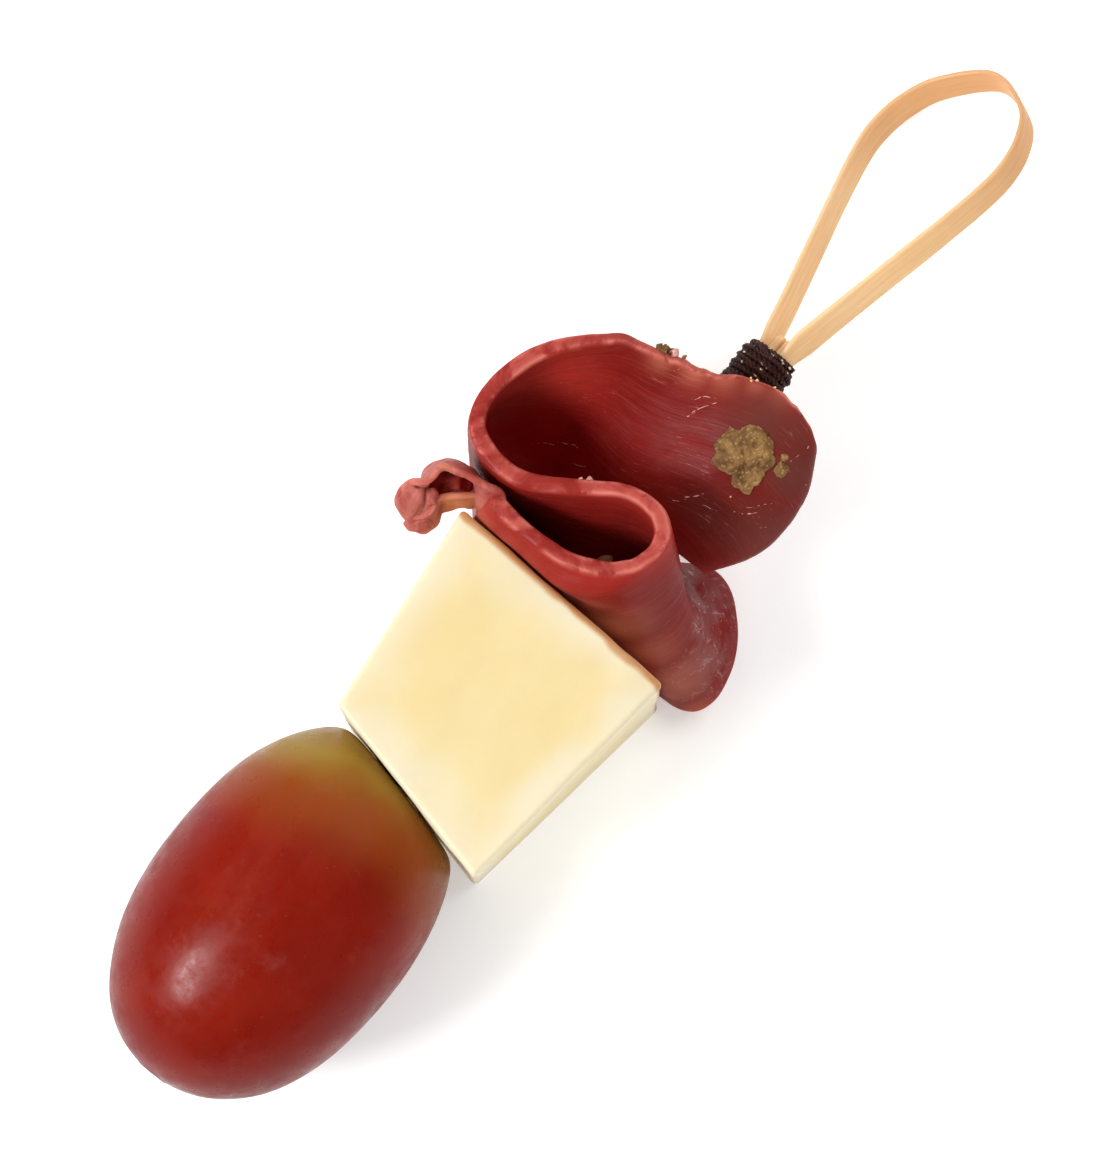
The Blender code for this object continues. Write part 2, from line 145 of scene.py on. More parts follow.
PETAL = (
    ((22.2, 12.2, 18.2), (20.6, 10.6, 12.6), (17.8, 9.5, 7.2), (15.5, 9, 2.4)),
    ((25, 10.2, 17.9), (22.4, 8.4, 12.8), (18.5, 7.8, 7.6), (15.5, 7.5, 2.8)),
    ((26.7, 8.2, 17.6), (23.3, 6.4, 13.4), (18.9, 6.1, 8.6), (15.4, 6, 3.4)),
    ((27.6, 5.4, 17.3), (23.7, 4.1, 14), (19, 4, 9.8), (15.6, 4.5, 4)),
    ((28.8, 2.5, 17), (24.2, 1.8, 14.8), (19.2, 1.9, 11.4), (16.4, 2.7, 5.2)),
    ((30.2, 0.1, 16.8), (25.6, -0.6, 15.8), (20.1, -0.5, 13), (17.4, 0.6, 7)),
    ((31.1, -2.4, 16.8), (26.8, -3.2, 16.4), (21.6, -3.3, 14), (18, -1.8, 8.6)),
    ((31.1, -4.8, 16.4), (27, -6.1, 15.8), (22.2, -6.3, 13.4), (18.2, -4.2, 9.2)),
    ((30.2, -6.7, 15.3), (26.8, -8.4, 14), (22.3, -8.4, 11.6), (18.4, -6, 9)),
    ((29.1, -7.5, 13.4), (26.1, -8.7, 11.9), (22.1, -8.4, 9.8), (18.7, -6.4, 7.6)),
)
STATIONS = np.array(TAIL + RUN_BY_CHEESE + FLARED_TURN + MIDDLE_RUN + BACK_TURN + PETAL)

# Places on the slice, each as x, y, z, reach and strength.
TORN_SPOTS = ((28.2, 4, 17.1, 2.2, 1), (18.4, 4.6, 19, 2, 0.6))
TAN_SPOTS = (
    (10.3, 9.7, 15, 0.9, 0.85),
    (9.4, 10.5, 14.6, 0.9, 0.85),
    (11, 8.8, 15.2, 0.7, 0.7),
    (8.7, 11, 14.6, 0.6, 0.5),
    (10.6, 12, 17, 0.5, 0.35),
)
DRY_SPOTS = (
    (16.9, -5.7, 5.4, 1.7, 1),
    (15.6, -7.4, 6.2, 1.7, 1),
    (15, -8.6, 7, 1.3, 0.7),
    (17.2, -8.5, 4, 2, 0.5),
    (13.9, -10.7, 4.6, 3, 0.42),
    (17.5, -10.4, 2.3, 2, 0.35),
)
# Painted light: places coloured brighter red where light falls on the slice.
BRIGHT_SPOTS = (
    (21.9, 10.8, 14.9, 3.5, 0.8),
    (20, 12.5, 15, 2.5, 0.6),
    (17.5, 0.5, 13, 2.5, 0.4),
)
SHADE_SPOTS = (
    (28.8, -3.2, 16.4, 3, 0.85),
    (27.4, -6.9, 15.3, 2.6, 0.90),
    (23.5, -7.4, 13, 3.6, 0.70),
    (22, -4.5, 13.5, 3, 0.55),
    (29.6, -5, 15.8, 2.4, 0.85),
    (18, -4.5, 9, 3, 0.3),
)
# Painted shade: dark saturated red laid into the hollow of the fold and the inside of the cup.
DEEP_IN_FOLD = ((14, 1.5, 7, 5, 0.8),)
DEEP_IN_CUP = (
    (16.5, 10.5, 6, 6, 1),
    (17.5, 6.5, 8, 3.5, 0.7),
    (18.5, -1.5, 9, 3.5, 0.6),
)
# Browned tint on the petal's rim near the crust; by the cheese, painted light that lifts the wall in the
# crevice.
BROWN_SPOTS = (
    (28.4, 3.2, 17.1, 1.1, 0.8),
    (29.5, 1.4, 16.9, 1.2, 0.7),
    (27.3, 5.6, 17.3, 1, 0.6),
    (30.6, -0.8, 16.9, 0.9, 0.6),
    (31.4, -2.6, 16.8, 1.2, 0.35),
    (9.5, 7.4, 16.4, 1.5, 0.8),
    (9.5, 5, 16.2, 1.6, 0.8),
    (9.5, 2.4, 15.9, 1.8, 0.8),
    (9.5, -0.2, 15.6, 2, 0.8),
    (10.2, -1.6, 15.5, 2.2, 0.60),
    (10, -4.2, 12.6, 2.8, 0.85),
    (11, -7, 9, 2.4, 0.5),
    (11, -10, 5, 2.6, 0.5),
    (11.2, -12.3, 1.8, 1.2, 0.8),
)

# Lumps of the crumpled tail: middle, the three half sizes, the turn and how much painted shade of the hollow,
# in dark saturated red, they take.
TAIL_LUMPS = (
    (7.5, 12.6, 14.8, 1.45, 1.30, 1.20, 20, 0),
    (6.9, 11.3, 13.9, 1.20, 1.00, 1.20, -30, 0),
    (8.3, 11.6, 14.9, 1.00, 0.80, 0.80, 40, 0),
    (10.4, 11.5, 13, 1.30, 1.60, 1.40, 30, 0.6),
)

# Pale strands on the slice: half thickness and the places they pass over.
STRANDS = (
    (0.055, ((18.4, 8.2), (18.8, 7.3), (19, 6.8), (18.9, 6))),
    (0.055, ((18, 6.1), (18.2, 5.5), (18.4, 4.9))),
    (0.070, ((20.8, -2.1), (21.4, -2.8), (22.2, -3.4))),
    (0.040, ((21.3, -3.4), (21.6, -4.4), (21.8, -4.9))),
    (0.075, ((22.5, -5.6), (22.6, -6), (23, -6.6), (24, -7.4))),
    (0.050, ((22.8, -7.8), (23.4, -8.3))),
    (0.060, ((27.4, -6.4), (28.3, -6.6), (29.3, -6.8), (30, -6.8))),
    (0.045, ((25.5, 1.3), (26.3, 1.1), (27.8, 0.2))),
    (0.040, ((26.5, 1.8), (27.2, 1.4), (27.7, 0.6))),
    (0.040, ((27, 4.3), (27.6, 4))),
    (0.035, ((24.4, 2.6), (25.2, 1.5), (26.6, 0.9))),
    (0.035, ((22.6, -5.2), (23.4, -6.4), (24.2, -7), (24.9, -7.6))),
    (0.050, ((17, 9.6), (17.8, 8.8), (18.2, 8))),
    (0.040, ((20.2, -1.6), (20.6, -2.3), (21, -2.5))),
)

# Patches of browned seasoning: place, height and distance to the outline at equal steps of angle.
CRUST_TURN = 48.5
CRUST_PATCHES = (
    (25.8, -4.1, 0.58, (2, 2.6, 2.3, 2.7, 2.4, 1.74, 2.54, 1.66)),
    (27, -6.4, 0.26, (0.7, 0.5, 0.6, 0.4, 0.55, 0.6, 0.7, 0.5)),
    (27.7, -6, 0.20, (0.35, 0.4, 0.3, 0.35, 0.3, 0.25, 0.3, 0.3)),
)

# Crumbs: place, size and lift above the surface.
BROWN_CRUMBS = (
    (27.6, 6.2, 0.34, 0.10),
    (27.8, 5.8, 0.42, 0.12),
    (28, 5.4, 0.30, 0.05),
    (28.5, 4.4, 0.22, 0),
)
PALE_CRUMBS = (
    (28.1, 5, 0.40, 0.08),
    (16.7, 3.4, 0.30, -0.10),
    (16.3, 3.9, 0.24, -0.08),
)
GOLDEN_CRUMBS = (
    (30.3, -0.5, 0.13, 0),
    (30.6, -0.8, 0.15, 0),
    (30.5, -0.3, 0.10, 0),
    (31.1, -2.1, 0.12, 0),
    (23.1, -4.9, 0.08, 0),
)

# Camera: almost straight above, with the skewer lying across the frame from lower left to upper right.
CAMERA_ELEVATION = math.radians(83)
CAMERA_HEADING = math.radians(48.53)
CAMERA_DISTANCE = 450
CAMERA_AIM = (10.87, 1.16, 10.5)
FRAME_WIDTH_AT_AIM = 83.12
SENSOR_WIDTH = 36

# In metres: how far the floor reaches and where the lights aim.
FLOOR_REACH = 3
LIGHT_AIM = (0.005, 0, 0.01)


# ---- Numbers: noise, smooth steps and smooth curves, on whole arrays of points ----

def lattice_value(cell, seed):
    """Repeatable pseudo-random value from -1 to 1 for each whole-numbered cell."""
    mixed = (
        cell[..., 0] * 73856093
        ^ cell[..., 1] * 19349663
        ^ cell[..., 2] * 83492791
        ^ (seed * 2654435761 & 0xFFFFFFFF)
    ) & 0xFFFFFFFF
    mixed = (mixed ^ (mixed >> 15)) * 2246822519 & 0xFFFFFFFF
    mixed = (mixed ^ (mixed >> 13)) * 3266489917 & 0xFFFFFFFF
    mixed = mixed ^ (mixed >> 16)
    return mixed / float(0x7FFFFFFF) - 1


def smooth_noise(points, seed):
    """Smooth noise from -1 to 1 with features about one unit wide."""
    points = np.asarray(points, float)
    low = np.floor(points).astype(np.int64)
    part = points - low
    part = part * part * part * (part * (part * 6 - 15) + 10)
    total = np.zeros(points.shape[:-1])
    for corner in range(8):
        offset = np.array([corner & 1, corner >> 1 & 1, corner >> 2 & 1])
        weight = np.prod(np.where(offset == 1, part, 1 - part), axis=-1)
        total += weight * lattice_value(low + offset, seed)
    return total


def layered_noise(points, seed, layers=3):
    """Sum of smooth noises, each layer twice as fine and half as strong."""
    total = 0
    for layer in range(layers):
        total = total + smooth_noise(points * 2**layer, seed + layer) * 0.5**layer
    return total


def smooth_step(low, high, value):
    """0 below low, 1 above high and a smooth slope between them."""
    share = np.clip((value - low) / (high - low), 0, 1)
    return share * share * (3 - 2 * share)


def bump(centre, width, value):
    """Smooth hump of height 1 at the centre, which falls off over the width."""
    return np.exp(-(((value - centre) / width) ** 2))


def curve_through(rows, position):
    """Values on the smooth curve through rows of numbers, at an array of fractional indices."""
    last = len(rows) - 1
    ahead_of_first = 2 * rows[0] - rows[1]
    after_last = 2 * rows[-1] - rows[-2]
    padded = np.concatenate([ahead_of_first[None], rows, after_last[None]])
    index = np.minimum(np.floor(position).astype(int), last - 1)
    step = (position - index).reshape((-1,) + (1,) * (rows.ndim - 1))
    outer_a, inner_a, inner_b, outer_b = (padded[index + k] for k in range(4))
    slope_a = 0.5 * (inner_b - outer_a)
    slope_b = 0.5 * (outer_b - inner_a)
    return (
        (2 * step**3 - 3 * step**2 + 1) * inner_a
        + (step**3 - 2 * step**2 + step) * slope_a
        + (3 * step**2 - 2 * step**3) * inner_b
        + (step**3 - step**2) * slope_b
    )


def unit(vectors):
    """Vectors scaled to length 1."""
    return vectors / np.maximum(np.linalg.norm(vectors, axis=-1, keepdims=True), 1e-12)


def linear(red, green, blue):
    """Colour from screen values of 0 to 255 to the linear values that shaders use."""
    shares = np.array([red, green, blue]) / 255
    values = np.where(shares <= 0.04045, shares / 12.92, ((shares + 0.055) / 1.055) ** 2.4)
    return (*(float(value) for value in values), 1)


# ---- Meshes ----

def add_piece(name, points, faces, material, slot, *nodes):
    """Mesh object from points in millimetres, riding on the part and standing for CAD nodes."""
    mesh = bpy.data.meshes.new(name)
    mesh.from_pydata((np.asarray(points) * MM).tolist(), [], faces)
    mesh.validate()
    mesh.shade_smooth()
    mesh.materials.append(material)
    piece = bpy.data.objects.new(name, mesh)
    bpy.context.collection.objects.link(piece)
    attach(piece, "root")
    if nodes:
        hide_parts(*nodes)
    return piece


def add_attributes(piece, **numbers):
    """Store one number for each point under each name, for the material to read."""
    for name, values in numbers.items():
        layer = piece.data.attributes.new(name, "FLOAT", "POINT")
        layer.data.foreach_set("value", np.asarray(values, np.float32).ravel())


def grid_faces(rows, columns, wrap=False):
    """Quads of a grid of points; wrap joins the last column to the first."""
    faces = []
    for i in range(rows - 1):
        for j in range(columns if wrap else columns - 1):
            after = (j + 1) % columns
            here = i * columns
            there = here + columns
            faces.append((here + j, here + after, there + after, there + j))
    return faces


def closed_rings(rows, sides):
    """Faces of rings of points one after another, closed at both ends."""
    ends = [tuple(range(sides))[::-1], tuple((rows - 1) * sides + k for k in range(sides))]
    return grid_faces(rows, sides, wrap=True) + ends


def on_line(run, row=0):
    """Points along a line, where noise is read; each row is another line."""
    return np.stack([run, run * 0, run * 0 + row], -1)


def tube(path, sides, radius, flatten=None):
    """Points and faces of a capped tube along a path; radius may be a number or one per point."""
    path = np.asarray(path)
    tangents = unit(np.gradient(path, axis=0))
    normals = np.zeros_like(path)
    guide = np.array([0, 0, 1])
    if abs(tangents[0] @ guide) > 0.9:
        guide = np.array([0, 1, 0])
    for i, tangent in enumerate(tangents):
        guide = guide - tangent * (guide @ tangent)
        guide = guide / np.linalg.norm(guide)
        normals[i] = guide
    others = np.cross(tangents, normals)
    angles = np.arange(sides) * math.tau / sides
    reach = np.broadcast_to(radius, (len(path),))[:, None, None]
    cosine, sine = (turn(angles)[None, :, None] for turn in (np.cos, np.sin))
    ring = cosine * normals[:, None] + sine * others[:, None]
    points = (path[:, None] + ring * reach).reshape(-1, 3)
    return points, closed_rings(len(path), sides)


def join_shapes(shapes):
    """One list of points and faces from several."""
    points = []
    faces = []
    count = 0
    for shape_points, shape_faces in shapes:
        points.append(shape_points)
        faces.extend(tuple(index + count for index in face) for face in shape_faces)
        count += len(shape_points)
    return np.concatenate(points), faces


# ---- Material helpers ----

class Paint:
    """A node material being built: its base colour so far and one short method for each kind of node."""

    def __init__(self, name):
        self.material = bpy.data.materials.new(name)
        self.material.use_nodes = True
        self.tree = self.material.node_tree
        self.shader = self.tree.nodes["Principled BSDF"]
        self.place = self.node("TexCoord", "Object", {})
        self.colour = None

    def feed(self, socket, value):
        """Set a socket to a value or link it to another socket."""
        if isinstance(value, bpy.types.NodeSocket):
            self.tree.links.new(value, socket)
        else:
            socket.default_value = value

    def node(self, kind, output, inputs, **settings):
        """New node with its settings made and its inputs fed; gives one of its outputs."""
        node = self.tree.nodes.new("ShaderNode" + kind)
        for key, value in settings.items():
            setattr(node, key, value)
        for key, value in inputs.items():
            self.feed(node.inputs[key], value)
        return node.outputs[output]

    def finish(self, **values):
        """Material with its base colour and the given shader sockets set; underscores stand for spaces."""
        for key, value in {"Base_Color": self.colour, **values}.items():
            self.feed(self.shader.inputs[key.replace("_", " ")], value)
        return self.material

    def attribute(self, name):
        """Number stored on the mesh."""
        return self.node("Attribute", "Fac", {}, attribute_name=name)

    def math(self, operation, first, second=0, clamp=False):
        """One step of arithmetic."""
        return self.node("Math", 0, {0: first, 1: second}, operation=operation, use_clamp=clamp)

    def times(self, first, second):
        """Product of two numbers."""
        return self.math("MULTIPLY", first, second)

    def scaled(self, vector, factors):
        """Vector with each axis multiplied."""
        return self.node("Mapping", 0, {"Vector": vector, "Scale": factors})

    def noise(self, scale, detail=3, roughness=0.55, distortion=0, at=None):
        """Noise value at the object's own place, or at another vector."""
        shape = {"Scale": scale, "Detail": detail, "Roughness": roughness, "Distortion": distortion}
        return self.node("TexNoise", "Fac", {"Vector": at or self.place, **shape})

    def fibres(self, along, across, *shape):
        """Noise drawn out along the fibres, whose places are stored on the mesh."""
        lane = self.node("CombineXYZ", 0, {0: self.attribute("along"), 1: self.attribute("across")})
        return self.noise(1, *shape, at=self.scaled(lane, (along, across, 1)))

    def cells(self, vector, scale):
        """Distance to the nearest point of a random scatter."""
        return self.node("TexVoronoi", "Distance", {"Vector": vector, "Scale": scale})

    def slope(self, value, low, high, to_low=0, to_high=1):
        """Smooth step of a value from one range to another."""
        ranges = {"From Min": low, "From Max": high, "To Min": to_low, "To Max": to_high}
        return self.node("MapRange", "Result", {"Value": value, **ranges}, interpolation_type="SMOOTHSTEP")

    def mix(self, share, first, second):
        """Mix of two colours."""
        return self.node("Mix", 2, {0: share, 6: first, 7: second}, data_type="RGBA")

    def base(self, share, first, second):
        """Start the base colour as a mix of two screen colours."""
        self.colour = self.mix(share, linear(*first), linear(*second))

    def coat(self, share, *second):
        """Mix a screen colour or a socket over the base colour."""
        over = second[0] if len(second) == 1 else linear(*second)
        self.colour = self.mix(share, self.colour, over)

    def relief(self, height, distance, strength=1, below=None):
        """Bump from a height; distance in millimetres."""
        inputs = {"Strength": strength, "Distance": distance * MM, "Height": height}
        if below is not None:
            inputs["Normal"] = below
        return self.node("Bump", "Normal", inputs)


# ---- Grape ----

def cheese_end_plane():
    """Point and direction, towards the grape, of the cheese's end face."""
    left = np.array([*CHEESE_TOP_CORNERS[1], 0])
    right = np.array([*CHEESE_TOP_CORNERS[2], 0])
    along = unit(right - left)
    return left, np.array([along[1], -along[0], 0])


def press_flat(points, point, outside, softness):
    """Push points that stand past a plane back onto it, with a soft shoulder."""
    depth = (points - point) @ outside
    kept = -softness * np.logaddexp(0, -depth / softness)
    return points + np.outer(kept - depth, outside)


def grape_material():
    """Thin smooth skin: glowing red, olive near the cheese, with painted shade low down and fine dull marks.
    """
    paint = Paint("grape_skin")
    patch = paint.noise(70, 3)
    streak = paint.noise(330, 3, at=paint.scaled(paint.place, (0.22, 1, 1)))
    blush = paint.math("ADD", paint.attribute("ripe"), paint.times(paint.math("SUBTRACT", patch, 0.5), 0.50))
    red = paint.mix(paint.slope(patch, 0.30, 0.70), linear(132, 24, 5), linear(116, 15, 4))
    paint.base(paint.slope(patch, 0.35, 0.7), (146, 116, 40), (136, 92, 30))
    paint.coat(paint.slope(blush, 0.08, 0.52), 136, 62, 18)
    paint.coat(paint.slope(blush, 0.44, 0.92), red)
    paint.coat(paint.slope(streak, 0.52, 0.80, 0, 0.16), 168, 62, 28)
    # Painted shade: the lower part of the berry darkened.
    paint.coat(paint.attribute("low"), 84, 12, 7)
    dots = paint.slope(paint.cells(paint.place, 1000), 0.03, 0.09, 1, 0)
    paint.coat(paint.times(dots, 0.12), 196, 128, 92)
    haze = paint.noise(260, 6, 0.7)
    paint.coat(paint.slope(haze, 0.56, 0.74, 0, 0.10), 176, 110, 100)
    dull = paint.slope(paint.noise(700, 5, 0.7), 0.35, 0.7)
    fine = paint.relief(paint.noise(1300, 4, 0.6), 0.05, 0.16)
    return paint.finish(
        Roughness=paint.math("ADD", 0.26, paint.times(dull, 0.20)),
        Subsurface_Weight=0.12,
        Subsurface_Scale=0.0015,
        Subsurface_Radius=(1, 0.14, 0.06),
        Specular_IOR_Level=0.11,
        Normal=paint.relief(haze, 0.12, 0.16, below=fine),
    )


def make_grape():
    """Blunt oval berry, settled on the surface, pressed to the cheese, with a small scar at its far end."""
    rings_count = 220
    sides = 260
    angle = np.pi * np.arange(rings_count + 1) / rings_count
    share = -np.cos(angle)
    radius = (1 - np.minimum(np.abs(share), 1) ** GRAPE_BLUNTNESS) ** (1 / GRAPE_BLUNTNESS)
    turn = np.arange(sides) * math.tau / sides
    across = np.stack([np.cos(turn), np.sin(turn)], -1)
    local = np.zeros((rings_count + 1, sides, 3))
    local[..., 0] = (share * GRAPE_HALF_LENGTH)[:, None]
    local[..., 1:] = radius[:, None, None] * across[None] * GRAPE_RADIUS
    local = local.reshape(-1, 3)
    swell = smooth_noise(local / 9, 11) * 0.10 + smooth_noise(local / 3.5, 12) * 0.035
    scar = bump(0, 0.55, np.hypot(local[:, 1], local[:, 2])) * (local[:, 0] < 0)
    rim = bump(1, 0.35, np.hypot(local[:, 1], local[:, 2])) * (local[:, 0] < 0)
    outward = unit(local / np.array([GRAPE_HALF_LENGTH, GRAPE_RADIUS, GRAPE_RADIUS]) ** 2)
    local = local + outward * (swell - 0.12 - 0.35 * scar + 0.08 * rim)[:, None]
    yaw = np.array(Matrix.Rotation(GRAPE_YAW, 3, "Z"))
    points = local @ yaw.T + np.array([GRAPE_CENTRE_X, GRAPE_CENTRE_Y, GRAPE_RADIUS - GRAPE_FLAT])
    point, normal = cheese_end_plane()
    points = press_flat(points, point + normal * GRAPE_GAP, -normal, 0.45)
    points = press_flat(points, np.array([0, 0, 0.02]), np.array([0, 0, -1]), 0.03)
    faces = grid_faces(rings_count + 1, sides, wrap=True)
    piece = add_piece("grape_berry", points, faces, grape_material(), "grape_skin", "grape")
    to_cheese = (points - point) @ normal
    lean = 0.30 * points[:, 1] - 0.10 * (points[:, 2] - 10)
    add_attributes(
        piece,
        ripe=smooth_step(-3, 13.5, to_cheese - lean),
        # Painted shade, strongest at the bottom of the berry.
        low=0.85 * (1 - smooth_step(3, 16, points[:, 2])),
    )


# ---- Cheese ----

def cheese_material():
    """Smooth pale cheese: yellow inside the faces, paler at the edges, stained and with painted shadow and
    painted reflected beef colour where the beef touches it.
    """
    paint = Paint("pale_cheese")
    cloud = paint.noise(110, 4)
    paint.base(paint.slope(cloud, 0.3, 0.7), (220, 198, 141), (222, 205, 156))
    paint.coat(paint.times(paint.attribute("edge"), 0.75), 222, 213, 189)
    smear = paint.noise(700, 4, at=paint.scaled(paint.place, (0.3, 1, 1)))
    paint.coat(paint.slope(smear, 0.54, 0.80, 0, 0.18), 222, 192, 128)
    # Stained colour by the beef, mixed with painted shadow and painted reflected beef colour along that edge.
    paint.coat(paint.times(paint.attribute("stain"), paint.slope(cloud, 0.2, 0.7, 0.6, 1)), 178, 108, 42)
    fine = paint.relief(paint.noise(2200, 3), 0.03, 0.25)
    return paint.finish(
        Roughness=paint.slope(smear, 0.3, 0.7, 0.42, 0.56),
        Subsurface_Weight=0.35,
        Subsurface_Scale=0.0025,
        Subsurface_Radius=(1, 0.7, 0.35),
        Specular_IOR_Level=0.4,
        Normal=paint.relief(smear, 0.06, 0.35, below=fine),
    )


def rounded_cube(count, radius, size):
    """Points and faces of a box with rounded edges, its shares from -1 to 1, as six grids that meet."""
    steps = np.linspace(-1, 1, count)
    steps = np.sign(steps) * (1 - (1 - np.abs(steps)) ** 1.35)
    shapes = []
    for axis in range(3):
        for sign in (-1, 1):
            u, v = np.meshgrid(steps, steps, indexing="ij")
            grid = np.zeros((count, count, 3))
            grid[..., axis] = sign
            grid[..., (axis + 1) % 3] = u
            grid[..., (axis + 2) % 3] = v * sign
            shapes.append((grid.reshape(-1, 3), grid_faces(count, count)))
    points, faces = join_shapes(shapes)
    half = np.asarray(size) / 2
    inner = np.clip(points * half, -(half - radius), half - radius)
    return inner + unit(points * half - inner) * radius, faces


def make_cheese():
    """Hand-cut block with soft edges, faint knife waves and a worn corner."""
    size = np.array([20, 20, CHEESE_HEIGHT])
    points, faces = rounded_cube(84, 0.55, size)
    shares = points / (size / 2)
    up = ((shares[:, 2] + 1) / 2)[:, None]
    u = ((shares[:, 0] + 1) / 2)[:, None]
    v = ((shares[:, 1] + 1) / 2)[:, None]

    def spread(corners):
        """Place in a four-cornered outline."""
        front_left, back_left, back_right, front_right = (np.array(corner) for corner in corners)
        left = back_left * (1 - u) + front_left * u
        right = back_right * (1 - u) + front_right * u
        return right * (1 - v) + left * v

    plan = spread(CHEESE_FLOOR_CORNERS) * (1 - up) + spread(CHEESE_TOP_CORNERS) * up
    placed = np.concatenate([plan, points[:, 2:] + CHEESE_HEIGHT / 2], axis=1)
    knife = smooth_noise(placed / np.array([6, 1.6, 6]), 21) * 0.05
    wave = smooth_noise(placed / 5, 22) * 0.07
    outward = unit(shares**9)
    floor_fade = smooth_step(0, 1.5, placed[:, 2])
    placed = placed + outward * ((knife + wave - 0.08) * floor_fade)[:, None]
    corner = np.linalg.norm(placed - np.array(WORN_CORNER), axis=1)
    placed[:, 2] -= 0.35 * bump(0, 1.6, corner)
    piece = add_piece("cheese_block", placed, faces, cheese_material(), "cheese", "cheese")
    away = np.sort(1 - np.abs(shares), axis=1)[:, 1] * 10
    ragged = CHEESE_BEEF_FACE_X - placed[:, 0] + 0.16 * smooth_noise(placed / 1.2, 24)
    add_attributes(
        piece,
        edge=1 - smooth_step(0, 4.5, away + smooth_noise(placed / 3, 23)),
        # Mask of the stained strip with painted shadow along the edge that meets the beef.
        stain=1 - smooth_step(0.42, 0.86, ragged),
    )
    recalculate(piece, 0.02)


def recalculate(piece, join_distance=None):
    """Turn all faces outward, after merging doubled points where grids meet."""
    shape = bmesh.new()
    shape.from_mesh(piece.data)
    if join_distance is not None:
        bmesh.ops.remove_doubles(shape, verts=shape.verts, dist=join_distance * MM)
    bmesh.ops.recalc_face_normals(shape, faces=shape.faces)
    shape.to_mesh(piece.data)
    shape.free()
    piece.data.shade_smooth()


# ---- Beef ----

def even_stops(count):
    """Fractional stations at equal distances along the middle of the slice."""
    trial = np.linspace(0, len(STATIONS) - 1, 3000)
    line = curve_through(STATIONS[:, 1:3].mean(axis=1), trial)
    run = np.concatenate([[0], np.cumsum(np.linalg.norm(np.diff(line, axis=0), axis=1))])
    return np.interp(np.linspace(0, run[-1], count), run, trial)


def slice_surface(along, across):
    """Middle surface of the slice for arrays of fractional stations and shares across it."""
    lines = curve_through(STATIONS, along)
    return np.stack([curve_through(line, across * 3) for line in lines])


def near(points, spots):
    """Soft mask, 1 at the middle of each spot of (x, y, z, reach, strength) and 0 well outside it."""
    total = np.zeros(points.shape[:-1])
    for x, y, z, reach, strength in spots:
        gap = np.linalg.norm(points - np.array([x, y, z]), axis=-1)
        total = np.maximum(total, strength * np.exp(-((gap / reach) ** 2)))
    return total


